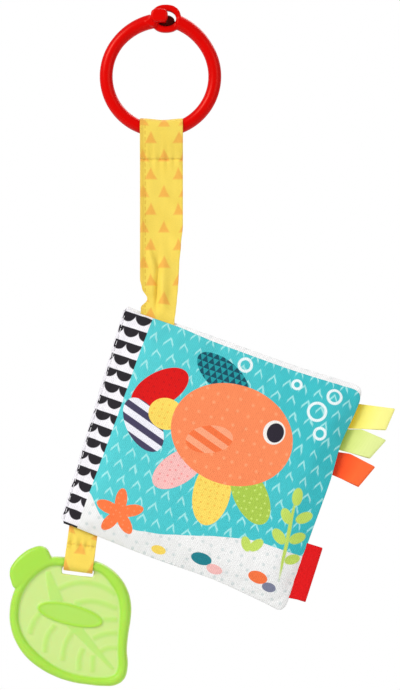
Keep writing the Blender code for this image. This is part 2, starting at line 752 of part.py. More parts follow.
# Leaf loop and leaf teether
def make_leaf_loop(pivot, frame, slope, cloth, thread):
    """Short strap folded round the leaf's bar, turned at its top to the slope of the bottom seam."""
    room = LEAF_RIM_THICKNESS / 2 + RUNNING_GAP
    wall, neck = LEAF_LOOP_WALL, LEAF_LOOP_LENGTH - LEAF_LOOP_NECK
    half = STRAP_THICKNESS / 2
    inner = arc((0, 0), room, radians(-200), radians(20), 16)
    inner += [(LOOP_SLACK, neck - wall), (-LOOP_SLACK, neck - wall)]
    outer = arc((0, 0), room + wall, radians(-200), radians(20), 18)
    outer += [(half + LOOP_SLACK, neck), (half, LEAF_LOOP_LENGTH)]
    outer += [(-half, LEAF_LOOP_LENGTH), (-half - LOOP_SLACK, neck)]
    mesh = mesh_from_curve(slab("leaf_loop", [outer, inner], LEAF_LOOP_WIDTH), ACROSS)
    for point in mesh.vertices:
        raised = max(0, (point.co.z - neck) / LEAF_LOOP_NECK)
        point.co.z += point.co.x * tan(slope) * raised
    add_part("leaf_loop", mesh, frame, pivot, cloth)
    length = LEAF_LOOP_WIDTH - 2 * THREAD_RADIUS
    front = half + LOOP_SLACK + SEAT_GAP + THREAD_RADIUS
    row_frame = frame @ Matrix.Translation((0, 0, neck))
    sew("leaf_loop_stitching", length, front, (1, 0), row_frame, pivot, thread, STITCH_PITCH / 2)


def scaled(shares):
    return [(x * LEAF_REACH, z * LEAF_REACH) for x, z in shares]


def make_leaf(pivot, frame, plastic):
    """One moulding: rim, web, stem, veins and a bare plate, with a slot under the bar for the loop."""
    bar = LEAF_LOOP_WIDTH / 2 + SLOT_SIDE_ROOM
    bar_line = [(-bar, 0), (-bar / 2, 0), (bar / 2, 0), (bar, 0)]
    middle_line = bar_line + scaled((x, z) for x, z, _ in RIM_SHARES)
    rim = tube(
        "leaf_rim",
        [(x, 0, z) for x, z in middle_line],
        LEAF_RIM_WIDTH / 2,
        sides_level=3,
        kind="BEZIER",
        closed=True,
        steps=3,
        swells=[1.0] * len(bar_line) + [swell for _, _, swell in RIM_SHARES],
    )
    flatten = Matrix.Diagonal((1, LEAF_RIM_THICKNESS / LEAF_RIM_WIDTH, 1, 1))
    rim.transform(flatten)
    leaf = add_part("leaf_teether", rim, frame, pivot, plastic, smooth_angle=radians(45))
    web = slab("leaf_web", [middle_line], LEAF_WEB_THICKNESS, kind="BEZIER", steps=3)
    stem = slab("leaf_stem", [scaled(STEM_SHARES)], LEAF_RIM_THICKNESS, LEAF_STEM_EDGE, "BEZIER", 2)
    plate_outline = oval((0, 0), LEAF_PLATE_LENGTH, LEAF_PLATE_WIDTH)
    plate = slab("leaf_plate", [plate_outline], LEAF_PLATE_THICKNESS, LEAF_PLATE_EDGE)
    plate_middle = Matrix.Translation((-LEAF_PLATE_SHIFT, 0, -LEAF_PLATE_DROP))
    plate_place = plate_middle @ Matrix.Rotation(LEAF_PLATE_TURN, 4, "Y")
    for name, curve, place in (
        ("leaf_web_cutter", web, Matrix()),
        ("leaf_stem_cutter", stem, Matrix()),
        ("leaf_plate_cutter", plate, plate_place),
    ):
        combine(leaf, cutter(name, mesh_from_curve(curve, UPRIGHT), frame @ place), "UNION")
    for number, shares in enumerate(VEIN_SHARES, 1):
        route = [(x, 0, z) for x, z in scaled(shares)]
        vein = tube("leaf_vein", route, LEAF_VEIN_RADIUS, kind="BEZIER", steps=3, sides_level=2)
        combine(leaf, cutter(f"leaf_vein_cutter_{number}", vein, frame), "UNION", "MANIFOLD")
    slot_top = -LEAF_RIM_WIDTH / 2 + SLOT_FLAT
    slot_bottom = -(LEAF_RIM_THICKNESS / 2 + RUNNING_GAP + LEAF_LOOP_WALL + SLOT_DROP_ROOM)
    slot = rounded_box(
        "leaf_slot",
        (-bar, -LEAF_RIM_THICKNESS, slot_bottom),
        (bar, LEAF_RIM_THICKNESS, slot_top),
        SLOT_ROUND,
    )
    combine(leaf, cutter("leaf_slot_cutter", slot, frame), "DIFFERENCE", "MANIFOLD")


def seam_chord(corners, from_spine, width, up):
    """Ends of a sewn strap's line on the top or bottom edge, in the book's frame."""
    across = (corners[1] - corners[0]).length
    ends = [from_spine - width / 2, from_spine + width / 2]
    return [plan_point(corners, 2 * (end - PAGE_SEAT) / across - 1, up) for end in ends]


def hinge_place(left, right, outward):
    """Middle of a seam's chord moved out of the book, and the slope at which the chord rises."""
    along = (right - left).normalized()
    middle = (left + right) / 2 + Vector((-along.y, along.x)) * outward
    return Vector((middle.x, 0, middle.y)), atan2(along.y, along.x)


parts = new_collection("crinkle_cloth_book")
cutters = new_collection("cutters")

red_plastic = finish("red_plastic", "E60000", 0.22, 0.4)
yellow_cloth = finish("yellow_cloth", "F8DC5E", 0.7)
printed_cloth = finish("printed_cloth", "3FC3C8", 0.8)
scallop_cloth = finish("scallop_cloth", "EEEAF0", 0.8)
white_cloth = finish("white_cloth", "ECECEB", 0.85)
yellow_ribbon = finish("yellow_ribbon", "FFF985", 0.5)
lime_ribbon = finish("lime_ribbon", "DCEB84", 0.5)
orange_ribbon = finish("orange_ribbon", "FF4A14", 0.5)
red_label = finish("red_label", "EC0008", 0.6)
green_silicone = finish("green_silicone", "A9E54A", 0.35, 0.2)
thread = finish("thread", "F2E08A", 0.7)
white_thread = finish("white_thread", "F4F2F4", 0.7)
crinkle_film = finish("crinkle_film", "D9DEE2", 0.25)
wadding = finish("wadding", "F3F1EC", 0.95)

# The ring, and the loop that slides round it
make_hanging_ring(red_plastic)
loop_pivot = add_pivot("ring_slide_axis", Matrix())
stitch_frame = make_hanger_loop(loop_pivot, yellow_cloth)
make_hanger_stitching(loop_pivot, stitch_frame, thread)

# The strap, from the stitched row to the book's top seam
throat = Vector((STRAP_OFFSET, 0, -RING_RADIUS - RING_TUBE_RADIUS - LOOP_DROP))
strap_frame = Matrix.Translation(throat)
strap_pivot = add_pivot("strap_swing_axis", strap_frame, loop_pivot)
page_corners = outline_corners(PAGE_SEAT)
top_seam = seam_chord(page_corners, STRAP_FROM_SPINE, STRAP_SEAM_WIDTH, 1)
top_place, top_rise = hinge_place(*top_seam, SEAM_SWING)
make_hanger_strap(strap_pivot, strap_frame, BOOK_TILT - top_rise, yellow_cloth)

# The book, hung from the strap's foot
strap_foot = throat + Vector((-STRAP_DRIFT, 0, -STRAP_LENGTH))
book_turn = Matrix.Rotation(BOOK_TILT, 4, "Y")
book_frame = Matrix.Translation(strap_foot) @ book_turn @ Matrix.Translation(-top_place)
top_frame = book_frame @ Matrix.Translation(top_place) @ Matrix.Rotation(-top_rise, 4, "Y")
book_pivot = add_pivot("book_swing_axis", top_frame, strap_pivot)
spine_top, spine_bottom = corner("top_left"), corner("bottom_left")
spine_length = (spine_top - spine_bottom).length
spine_frame = edge_frame(spine_top, spine_bottom, HINGE_INSET, 0)
make_spine(book_pivot, spine_frame, spine_length, scallop_cloth, white_thread)
make_page(book_pivot, (white_cloth, crinkle_film, wadding))

# The covers, each on its own fold beside the spine
front_frame = spine_frame @ Matrix.Translation((0, -COVER_INNER, 0))
back_frame = spine_frame @ Matrix.Translation((0, COVER_INNER, 0))
front_pivot = add_pivot("front_cover_fold", front_frame, book_pivot)
back_pivot = add_pivot("back_cover_fold", back_frame, book_pivot)
inside = (white_cloth, crinkle_film, wadding)
make_cover("front", -1, front_pivot, (COVER_DROP, COVER_SHY), 1, (printed_cloth, *inside))
make_cover("back", 1, back_pivot, (0, 0), 0, (printed_cloth, *inside))

# Ribbon tags in the page's right seam
ribbon_finishes = (yellow_ribbon, lime_ribbon, orange_ribbon)
for (tag, shares), ribbon in zip(RIBBON_SHARES.items(), ribbon_finishes):
    start_share, width_share, slant, end_share = shares
    edge = right_edge_line(start_share, start_share + width_share)
    tag_frame = edge_frame(*edge, RIBBON_HINGE_GAP, 0)
    tag_pivot = add_pivot(f"{tag}_fold", tag_frame, book_pivot)
    width = width_share * BOOK_HEIGHT
    folded_tag(tag, RIBBON_LENGTH, width, slant, end_share, tag_frame, tag_pivot, ribbon)

# Side label in the front cover's right seam
label_middle_share = 1 - (LABEL_FROM_FOOT + LABEL_WIDTH / 2) / BOOK_HEIGHT
label_half_share = LABEL_WIDTH / 2 / BOOK_HEIGHT
label_ends = (label_middle_share - label_half_share, label_middle_share + label_half_share)
edge = right_edge_line(*label_ends, COVER_DROP, COVER_SHY)
label_frame = edge_frame(*edge, RIBBON_HINGE_GAP, -COVER_INNER - EDGE_THICKNESS / 2)
label_pivot = add_pivot("side_label_fold", label_frame, front_pivot)
folded_tag("side_label", LABEL_LENGTH, LABEL_WIDTH, 0, 1, label_frame, label_pivot, red_label)

# The leaf loop in the bottom seam, and the leaf on it
bottom_seam = seam_chord(page_corners, LEAF_LOOP_FROM_SPINE, LEAF_LOOP_WIDTH, -1)
bottom_place, bottom_rise = hinge_place(*bottom_seam, -SEAM_SWING)
bottom_frame = book_frame @ Matrix.Translation(bottom_place) @ Matrix.Rotation(-bottom_rise, 4, "Y")
leaf_loop_pivot = add_pivot("leaf_loop_swing_axis", bottom_frame, book_pivot)
leaf_turn = Matrix.Rotation(LEAF_TILT, 4, "Y")
loop_top = Matrix.Translation(bottom_frame.translation)
leaf_frame = loop_top @ leaf_turn @ Matrix.Translation((0, 0, -LEAF_LOOP_LENGTH))
leaf_pivot = add_pivot("leaf_bar_axis", leaf_frame, leaf_loop_pivot)
loop_slope = LEAF_TILT - BOOK_TILT + bottom_rise
make_leaf_loop(leaf_loop_pivot, leaf_frame, loop_slope, yellow_cloth, thread)
make_leaf(leaf_pivot, leaf_frame, green_silicone)
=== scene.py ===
"""Looks of a crinkle cloth book that hangs from a ring: its cloth, print, ribbons, thread, ring and leaf."""

import json
from math import atan2, copysign, cos, exp, hypot, pi, radians, sin, sqrt, tan

import bmesh
import bpy
from mathutils import Matrix, Vector, noise

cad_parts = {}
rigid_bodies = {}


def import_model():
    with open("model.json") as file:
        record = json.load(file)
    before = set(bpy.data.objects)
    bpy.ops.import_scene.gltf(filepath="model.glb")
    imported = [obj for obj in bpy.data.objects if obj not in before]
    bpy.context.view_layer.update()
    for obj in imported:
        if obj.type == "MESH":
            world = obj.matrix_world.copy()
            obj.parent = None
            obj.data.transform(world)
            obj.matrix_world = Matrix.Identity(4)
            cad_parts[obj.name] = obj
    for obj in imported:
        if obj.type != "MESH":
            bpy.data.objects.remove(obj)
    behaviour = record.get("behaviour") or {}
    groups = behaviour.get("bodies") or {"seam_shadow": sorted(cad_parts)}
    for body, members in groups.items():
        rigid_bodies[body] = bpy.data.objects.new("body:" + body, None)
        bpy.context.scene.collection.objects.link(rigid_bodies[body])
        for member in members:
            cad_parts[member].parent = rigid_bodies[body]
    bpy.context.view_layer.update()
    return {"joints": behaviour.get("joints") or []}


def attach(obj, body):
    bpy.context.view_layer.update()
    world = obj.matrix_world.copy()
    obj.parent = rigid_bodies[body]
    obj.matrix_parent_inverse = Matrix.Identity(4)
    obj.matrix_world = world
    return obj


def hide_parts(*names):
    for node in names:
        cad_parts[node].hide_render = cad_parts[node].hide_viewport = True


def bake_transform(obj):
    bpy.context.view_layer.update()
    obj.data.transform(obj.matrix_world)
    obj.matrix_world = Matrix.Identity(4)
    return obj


for item in list(bpy.data.objects):
    bpy.data.objects.remove(item)
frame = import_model()

MM = 0.001
PRINT = "print"
PRINT_UNIT = 10

BOOK_TILT = radians(19.1)
HALF_WIDTH = 63.5 * MM
HALF_HEIGHT = 59.0 * MM
CORNERS = {
    "bottom_left": Vector((-0.951 * HALF_WIDTH, -0.966 * HALF_HEIGHT)),
    "bottom_right": Vector((0.995 * HALF_WIDTH, -1.068 * HALF_HEIGHT)),
    "top_right": Vector((1.031 * HALF_WIDTH, 1.010 * HALF_HEIGHT)),
    "top_left": Vector((-1.028 * HALF_WIDTH, 0.988 * HALF_HEIGHT)),
}
CORNER_RADIUS = 6.0 * MM
RIBBON_FOLD = 20.4 * MM
TOP_LEAN = 0.0097
TOP_DIP = 1.2 * MM
TOP_DIP_PLACE = 26.0 * MM
RIBBON_NIP = 1.6 * MM
RIBBON_NIP_PLACE = 28.0 * MM
HINGE_INSET = 2.2 * MM
COVER_DROP = 2.6 * MM
COVER_SHY = 0.8 * MM
COVER_START = 5.2 * MM
PAGE_SEAT = 0.9 * MM
COVER_INNER = 1.9 * MM
SEAM_DEPTH = 2.55 * MM
COVER_OUT = 6.1 * MM
WRAP_DEPTH = 3.5 * MM
PAGE_HALF = 1.5 * MM

RING_RADIUS = 27.75 * MM
RING_INSIDE = 24.4 * MM
RING_TUBE = 3.35 * MM
STRAP_WIDTH = 22.0 * MM
STRAP_OFFSET = 0.5 * MM
STRAP_LENGTH = 79.05 * MM
STRAP_DRIFT = 1.8 * MM
THROAT = -42.8 * MM
SEAM_ROLL = 1.1 * MM
STRAP_CLOTH = 0.45 * MM
LOOP_CLOTH = 0.5 * MM
RIBBON_CLOTH = 0.24 * MM
SPINE_CLOTH = 0.4 * MM
LEAF_LOOP_NECK = 9.9 * MM

joints = {joint["name"]: joint for joint in frame["joints"]}


def joint_frame(name, up=True, sign=1):
    """Frame at a joint: its axis as Z when it runs up an edge, and otherwise as X."""
    joint = joints[name]
    axis = Vector(joint["axis"]) * sign
    back = Vector((0, 1, 0))
    z = axis if up else axis.cross(back)
    x = back.cross(z)
    turn = Matrix((x, back, z)).transposed().to_4x4()
    return Matrix.Translation(joint["pos_m"]) @ turn


def book_place():
    """Frame at the book's centre, found from the fold of a cover beside the spine."""
    along = (CORNERS["top_left"] - CORNERS["bottom_left"]).normalized()
    middle = (CORNERS["top_left"] + CORNERS["bottom_left"]) / 2
    middle += Vector((along.y, -along.x)) * HINGE_INSET
    x, _, z = joints["front_cover_open"]["pos_m"]
    turn = Matrix.Rotation(BOOK_TILT, 4, "Y")
    return Matrix.Translation((x, 0, z)) @ turn @ Matrix.Translation((-middle.x, 0, -middle.y))


book = book_place()


# Nodes of the materials
class Field:
    """A number or colour inside a material, which sums can be written with."""

    def __init__(self, shade, socket):
        self.shade, self.socket = shade, socket

    def __add__(self, other):
        return self.shade.sum("ADD", self, other)

    def __sub__(self, other):
        return self.shade.sum("SUBTRACT", self, other)

    def __rsub__(self, other):
        return self.shade.sum("SUBTRACT", other, self)

    def __mul__(self, other):
        return self.shade.sum("MULTIPLY", self, other)

    def __truediv__(self, other):
        return self.shade.sum("DIVIDE", self, other)

    def __pow__(self, other):
        return self.shade.sum("POWER", self, other)

    def __mod__(self, other):
        return self.shade.sum("FLOORED_MODULO", self, other)

    def __abs__(self):
        return self.shade.sum("ABSOLUTE", self)

    __radd__, __rmul__ = __add__, __mul__


class Shade:
    """A material or a world and the node tree that its formulas build."""

    def __init__(self, name, world=None):
        self.material = world or bpy.data.materials.new(name)
        self.material.use_nodes = True
        self.tree = self.material.node_tree
        self.surface = self.tree.nodes["Background" if world else "Principled BSDF"]

    def node(self, kind, settings, values, out=0):
        made = self.tree.nodes.new(kind)
        for key, value in settings.items():
            setattr(made, key, value)
        places = values.items() if isinstance(values, dict) else enumerate(values)
        for place, value in places:
            self.join(made.inputs[place], value)
        return Field(self, made.outputs[out])

    def join(self, socket, value):
        """Link a field, or set a number, place or hex colour."""
        if isinstance(value, Field):
            self.tree.links.new(value.socket, socket)
        else:
            value = linear(value) if isinstance(value, str) else value
            socket.default_value = value[:3] if socket.type == "VECTOR" else value

    def sum(self, operation, *values):
        return self.node("ShaderNodeMath", {"operation": operation}, values)

    def sine(self, value):
        return self.sum("SINE", value)

    def floor(self, value):
        return self.sum("FLOOR", value)

    def least(self, a, b):
        return self.sum("MINIMUM", a, b)

    def most(self, a, b):
        return self.sum("MAXIMUM", a, b)

    def eased(self, value, start, end, low, high):
        """A smooth step from low where the value is at start to high where it is at end."""
        values = {"Value": value, "From Min": start, "From Max": end, "To Min": low, "To Max": high}
        return self.node("ShaderNodeMapRange", {"interpolation_type": "SMOOTHSTEP"}, values)

    def clamped(self, value, scale, shift):
        settings = {"operation": "MULTIPLY_ADD", "use_clamp": True}
        return self.node("ShaderNodeMath", settings, (value, scale, shift))

    def inside(self, distance, soft=0.2):
        """One inside a shape's edge and none outside, from the distance to the edge in millimetres."""
        return self.clamped(distance, -1 / soft, 0.5)

    def mix(self, share, a, b):
        return self.node(
            "ShaderNodeMix", {"data_type": "RGBA"}, {"Factor": share, 6: a, 7: b}, out=2
        )

    def tint(self, colour, share):
        settings = {"operation": "SCALE"}
        return self.node("ShaderNodeVectorMath", settings, {0: colour, "Scale": share})

    def noise(self, where, scale, detail=2.0):
        values = {"Vector": where, "Scale": scale, "Detail": detail}
        return self.node("ShaderNodeTexNoise", {"noise_dimensions": "3D"}, values)

    def cells(self, where, pitch, scatter):
        """Distance in millimetres to the nearest point of a scattered grid."""
        values = {"Vector": where, "Scale": 1 / pitch, "Randomness": scatter}
        return self.node("ShaderNodeTexVoronoi", {"voronoi_dimensions": "2D"}, values) * pitch

    def place(self):
        """Place on the flat cloth, in millimetres."""
        flat = self.node("ShaderNodeUVMap", {"uv_map": PRINT}, ())
        return self.tint(flat, 1 / MM / PRINT_UNIT)

    def body_place(self):
        """Place in the piece's own frame, in millimetres."""
        return self.tint(self.node("ShaderNodeTexCoord", {}, (), out=3), 1 / MM)

    def apart(self, where):
        split = self.node("ShaderNodeSeparateXYZ", {}, (where,))
        outputs = split.socket.node.outputs
        return [Field(self, outputs[k]) for k in range(3)]

    def oval(self, where, centre, half_width, half_height, turn=0.0):
        """Distance in millimetres to an oval's edge, less than none inside."""
        values = {
            "Vector": where,
            "Location": (*centre, 0),
            "Rotation": (0, 0, radians(turn)),
            "Scale": (half_width, half_height, 1),
        }
        shaped = self.node("ShaderNodeMapping", {"vector_type": "TEXTURE"}, values)
        length = self.node("ShaderNodeVectorMath", {"operation": "LENGTH"}, (shaped,), out=1)
        return (length - 1) * min(half_width, half_height)

    def finish(self, colour, roughness, height, depth, uniform):
        """Colour, roughness and bump of the surface, and what is the same all over it."""
        sockets = self.surface.inputs
        self.join(sockets["Base Color"], colour)
        self.join(sockets["Roughness"], roughness)
        values = {"Strength": 1.0, "Distance": depth, "Height": height}
        self.join(sockets["Normal"], self.node("ShaderNodeBump", {}, values))
        for name, value in uniform.items():
            sockets[name].default_value = value
        return self.material


def linear(hex_colour):
    """Colour from its hex form, in linear light."""
    shares = [int(hex_colour[i : i + 2], 16) / 255 for i in (0, 2, 4)]
    return (*[c / 12.92 if c < 0.04045 else ((c + 0.055) / 1.055) ** 2.4 for c in shares], 1)


def woven(shade, where, pitch):
    """Twill ribs across the cloth and the threads that cross them, from -1 to 1."""
    u, v, _ = shade.apart(where)
    rib = shade.sine((u + v) * (2 * pi / pitch))
    yarn = shade.sine((u - v) * (5 * pi / pitch))
    return rib * 0.7 + yarn * 0.3


def cloth_finish(shade, colour, where, pitch=1.25, roughness=0.8, sheen=0.06, contrast=0.1):
    """Weave, wear and sheen over a cloth's colour."""
    weave = woven(shade, where, pitch)
    worn = shade.noise(where, 0.09, 3.0)
    slub = shade.noise(where, 1.6, 2.0)
    level = weave * contrast + (worn - 0.5) * 0.14 + (slub - 0.5) * 0.14 + 1
    rough = (slub - 0.5) * 0.15 + roughness
    height = weave * 0.5 + slub
    uniform = {"Sheen Weight": sheen, "Sheen Roughness": 0.4, "Specular IOR Level": 0.25}
    return shade.finish(shade.tint(colour, level), rough, height, 0.12 * MM, uniform)


def chevrons(shade, where):
    """Hand-drawn rows of small open arrowheads, pointing up."""
    wander = shade.noise(where, 0.16, 1.0)
    u, v, _ = shade.apart(where)
    v = v + (wander - 0.5) * 2.2
    row_height, pitch = 7.4, 8.0
    row = shade.floor(v / row_height)
    side = abs((u + (row % 2) * (pitch / 2) + wander * 2.4) % pitch - pitch / 2)
    low = (v % row_height) - 5.4
    stroke = abs(low + side * 1.6) * 0.53
    reach = shade.most(stroke - 0.4, side - 2.15)
    return shade.inside(reach, 0.5)


def scallops(shade, where):
    """Rows of half-round scallops that hang from straight lines, every other row half a scallop on."""
    wander = shade.noise(where, 0.2, 1.0)
    u, v, _ = shade.apart(where)
    row_height, pitch = 7.45, 8.2
    down = (3.7 - v) / row_height + wander * 0.05
    row = shade.floor(down)
    hang = (down - row) * row_height
    across = ((u + pitch / 2 + (row % 2) * (pitch / 2) + wander * 0.8) % pitch) - pitch / 2
    round_end = ((across / 4.3) ** 2 + (hang / 4.9) ** 2 - 1) * 2
    bare_edge = shade.most(v - 56.0, -62.1 - u - v * 0.0433 + (wander - 0.5) * 2.0)
    return shade.inside(shade.most(shade.most(round_end, -1 * hang + 0.1), bare_edge), 0.3)


def sea_print(name, picture):
    """Sea field, sand and scalloped band, with or without the fish, on the flat cloth."""
    shade = Shade(name)
    where = shade.place()
    u, v, _ = shade.apart(where)
    # Painted shade: the sea field darkens from the spine side toward the right edge.
    painted_shade_right = shade.clamped(u, 0.009, 0.5)
    cloud = shade.noise(where, 0.035, 2.0)
    field = shade.mix(painted_shade_right, "52CCD0", "26B7C0")
    field = shade.mix(cloud * 0.35, field, "6AD6DA")
    field = shade.mix(chevrons(shade, where) * 0.75, field, "B4F0EE")
    for x, z, radius in ((50, 29, 2.8), (45, 39, 4.4), (51, 49, 3.4), (31, 49, 2.2), (3, 50, 3.2)):
        ring = abs(shade.oval(where, (x, z), radius, radius)) - 0.7
        field = shade.mix(shade.inside(ring, 0.4), field, "EAF6F7")
    if picture:
        field = fish(shade, where, field)
    rise = shade.eased(u, -30.0, 44.0, -48.0, -33.0)
    dip = shade.eased(u, -52.0, -38.0, 11.0, 0.0)
    sand_edge = v - (rise + dip + (cloud - 0.5) * 3)
    specks = shade.inside(shade.cells(where, 5.4, 0.35) - 0.85, 0.5)
    sand = shade.mix(specks * 0.6, "EDEDEC", "C6D2D2")
    field = shade.mix(shade.inside(sand_edge), field, sand)
    if picture:
        field = shore(shade, where, field)
    band = shade.mix(scallops(shade, where), "F0EDF2", "221E24")
    field = shade.mix(shade.inside(u + 50.1 - v * 0.0146), field, band)
    return cloth_finish(shade, field, where)


def fish(shade, where, field):
    """A plain round fish in side view, with patchwork fins and tail."""
    u, v, _ = shade.apart(where)
    fine = shade.inside(shade.cells(where, 3.4, 0.4) - 0.5, 0.5)
    stripes = shade.clamped(shade.sine((v * 0.96 + u * 0.28) * (2 * pi / 6.6)), 4.0, 0.5)
    points = (v % 3.2) * 0.5 - abs((u + shade.floor(v / 3.2) * 1.7) % 3.4 - 1.7)
    teal = shade.mix(shade.inside(-1 * points), "0A4C5E", "1C98A0")
    red = shade.mix(fine * 0.5, "DC0808", "B00610")
    pink = shade.mix(fine * 0.8, "F6BDBA", "F08A8A")
    navy = shade.mix(stripes, "453F5C", "EEEDF5")
    yellow = shade.mix(fine * 0.8, "F8D860", "F2B848")
    lime = shade.mix(fine * 0.8, "A9C94C", "D2EC7C")
    dots = shade.inside(shade.cells(where, 6.2, 0.3) - 0.75, 0.8)
    orange = shade.mix(dots * 0.5, "FA8A58", "FFB384")
    patches = (
        ((-6, 41), 16, 8, -22, teal),
        ((-34, 24), 16, 8.5, 48, red),
        ((-36, 4), 15, 8.5, -42, navy),
        ((-27, 13), 9, 8, 0, yellow),
        ((-12, -11), 15, 8, 52, pink),
        ((8, -17), 17, 9.5, 96, yellow),
        ((27, -12), 16, 8.5, -46, lime),
        ((8, 14), 31.5, 25.5, 0, orange),
        ((-2, 8), 12, 7, 24, shade.mix(stripes, "F4743F", "FBA47C")),
        ((28, 22), 5.6, 6.2, 0, "F3EFEA"),
        ((28.6, 22), 4.3, 5.0, 0, "27212E"),
    )
    for centre, half_width, half_height, turn, colour in patches:
        shape = shade.oval(where, centre, half_width, half_height, turn)
        field = shade.mix(shade.inside(shape), field, colour)
    return field


def shore(shade, where, field):
    """A starfish, round-leaved weed and pebbles on the sand."""
    lime, coral = "C2DC62", "FF7A42"
    stem = shade.oval(where, (52, -26), 20, 1.0, 97)
    for x, z, width, turn in (
        (57, -14, 4.6, 40), (48, -16, 4.4, -45), (57, -25, 4.6, 35), (47.5, -27, 4.6, -35),
        (50, -5, 4.6, 100), (58, -36, 4.2, 30), (38, -35, 4.2, 55), (33, -36, 4.0, 125),
    ):
        stem = shade.least(stem, shade.oval(where, (x, z), width, width * 0.6, turn))
    field = shade.mix(shade.inside(stem, 0.4), field, lime)
    star = (-33, -42)
    arms = shade.oval(where, star, 4.4, 4.4)
    for number in range(5):
        turn = radians(100 + 72 * number)
        middle = (star[0] + 6.0 * cos(turn), star[1] + 6.0 * sin(turn))
        arms = shade.least(arms, shade.oval(where, middle, 6.4, 3.0, 100 + 72 * number))
    freckles = shade.inside(shade.cells(where, 3.0, 0.5) - 0.45, 0.5)
    field = shade.mix(shade.inside(arms), field, shade.mix(freckles * 0.5, coral, "FFA070"))
    for x, z, width, height, colour in (
        (14, -51, 5.4, 3.2, "1B7F8C"), (22, -54, 4.2, 2.6, "F6BDBA"), (-8, -54, 3.8, 2.3, "F8D860"),
        (44, -50, 5.0, 3.1, "F4743F"), (51, -53, 3.6, 2.4, "7B7F97"),
    ):
        stone = shade.oval(where, (x, z), width, height)
        field = shade.mix(shade.inside(stone), field, colour)
    return field


def plain_cloth(name, hex_colour, **options):
    shade = Shade(name)
    return cloth_finish(shade, hex_colour, shade.place(), **options)


def lining_cloth(name):
    """White cloth with faint dots."""
    shade = Shade(name)
    where = shade.place()
    specks = shade.inside(shade.cells(where, 6.4, 0.3) - 0.8, 0.6)
    colour = shade.mix(specks * 0.3, "F6F5F5", "C8D4D5")
    return cloth_finish(shade, colour, where)


def strap_cloth(name):
    """Satiny yellow cloth with staggered orange triangles and a sewn left hem, with broad patches of painted
    satin sheen and painted shade along the folded hem.
    """
    shade = Shade(name)
    where = shade.place()
    u, v, _ = shade.apart(where)
    wander = shade.noise(where, 0.12, 1.0)
    row_height, tall = 9.05, 5.9
    climb = (v + 2.3) / row_height
    row = shade.floor(climb)
    odd = (row + 1) % 2
    pitch = 14.3 - odd * 3.6
    across = abs((u + 4.7 - odd * 6.8 + wander * 1.6 + pitch * 5.5) % pitch - pitch / 2)
    up = (climb - row) * row_height - 1.6
    triangle = shade.most(shade.most(across - (tall - up) * 0.5, up * -1), up - tall)
    # Painted satin sheen: broad lighter and darker patches of yellow.
    colour = shade.mix(wander, "FBDF5F", "F5D450")
    colour = shade.mix(shade.inside(triangle, 0.9) * 0.7, colour, "F6A443")
    # Painted shade along the folded left hem.
    folded = shade.clamped(u, -1.4, -12.1)
    colour = shade.mix(folded * 0.36, colour, "D9A93A")
    hem = abs(u + 8.3) - 0.28
    stitch = shade.inside(hem, 0.25) * shade.clamped(shade.sine(v * (2 * pi / 3.2)), 6.0, 2.5)
    colour = shade.mix(stitch * 0.6, colour, "DFAE34")
    return cloth_finish(shade, colour, where, 0.8, 0.46, 0.1, 0.03)


def ribbon_cloth(name, hex_colour, shadow, seam_shadow):
    """Satin ribbon: fine ribs across it, painted shade that deepens toward the seam and is darkest where the
    ribbon tucks into it, and a soft band of sheen in its roughness and its painted shade.
    """
    shade = Shade(name)
    where = shade.place()
    u, v, _ = shade.apart(where)
    rib = shade.sine(v * (2 * pi / 0.55))
    band = shade.noise(where, 0.14, 1.0)
    from_fold = abs(u - RIBBON_FOLD / MM)
    # Painted shade: darker from the ribbon's outer fold toward the seam, in soft bands.
    deep = shade.clamped(from_fold, 0.075, -0.45)
    colour = shade.mix(deep * (band * 0.6 + 0.6), hex_colour, shadow)
    # Painted shadow: darkest within a few millimetres of the seam.
    seam_shade = shade.clamped(from_fold, 0.3, -4.5)
    colour = shade.mix(seam_shade * 0.75, colour, seam_shadow)
    level = rib * 0.02 + shade.sine(u * (2 * pi / 0.8)) * 0.015 + 1
    uniform = {"Sheen Weight": 0.04, "Sheen Roughness": 0.3, "Specular IOR Level": 0.2}
    return shade.finish(
        shade.tint(colour, level), (band - 0.5) * 0.2 + 0.42, rib, 0.03 * MM, uniform
    )


def ring_finish():
    """Glossy red plastic with faint flow marks, and a painted shadow inside the eye where the hook lies."""
    shade = Shade("red_plastic")
    where = shade.body_place()
    x, y, z = shade.apart(where)
    flow = shade.noise(where, 0.05, 2.0)
    grain = shade.noise(where, 1.4, 3.0)
    colour = shade.mix(flow * 0.6, "DE0000", "C20000")
    flat = shade.node("ShaderNodeCombineXYZ", {}, (x, z, 0.0))
    # Painted shadow: the hook's toe and peg inside the eye, behind the stud, are darkened nearly to black.
    behind = shade.clamped(y, 1.0, 1.3)
    hook_shadow = shade.inside(shade.oval(flat, (2.8, 29.4), 5.0, 3.9), 0.6) * behind
    colour = shade.mix(hook_shadow * 0.93, colour, "2A0404")
    uniform = {"Specular IOR Level": 0.3, "Specular Tint": (1, 0.32, 0.22, 1)}
    return shade.finish(colour, (grain - 0.5) * 0.06 + 0.33, grain, 0.004 * MM, uniform)


def leaf_finish():
    """Soft green silicone, paler where it is thin."""
    shade = Shade("green_silicone")
    where = shade.body_place()
    _, y, _ = shade.apart(where)
    thin = shade.clamped(abs(y), 3.6, -5.6)
    thick = shade.clamped(abs(y), 2.2, -4.4)
    flow = shade.noise(where, 0.06, 2.0)
    grain = shade.noise(where, 1.1, 3.0)
    colour = shade.mix(thin, "CEE48E", "BBE274")
    colour = shade.mix(thick, colour, "A6DC42")
    colour = shade.mix(flow * 0.25, colour, "B8E266")
    uniform = {"Subsurface Weight": 0.3, "Subsurface Scale": 0.003, "Specular IOR Level": 0.35}
    return shade.finish(colour, (grain - 0.5) * 0.1 + 0.4, grain, 0.012 * MM, uniform)


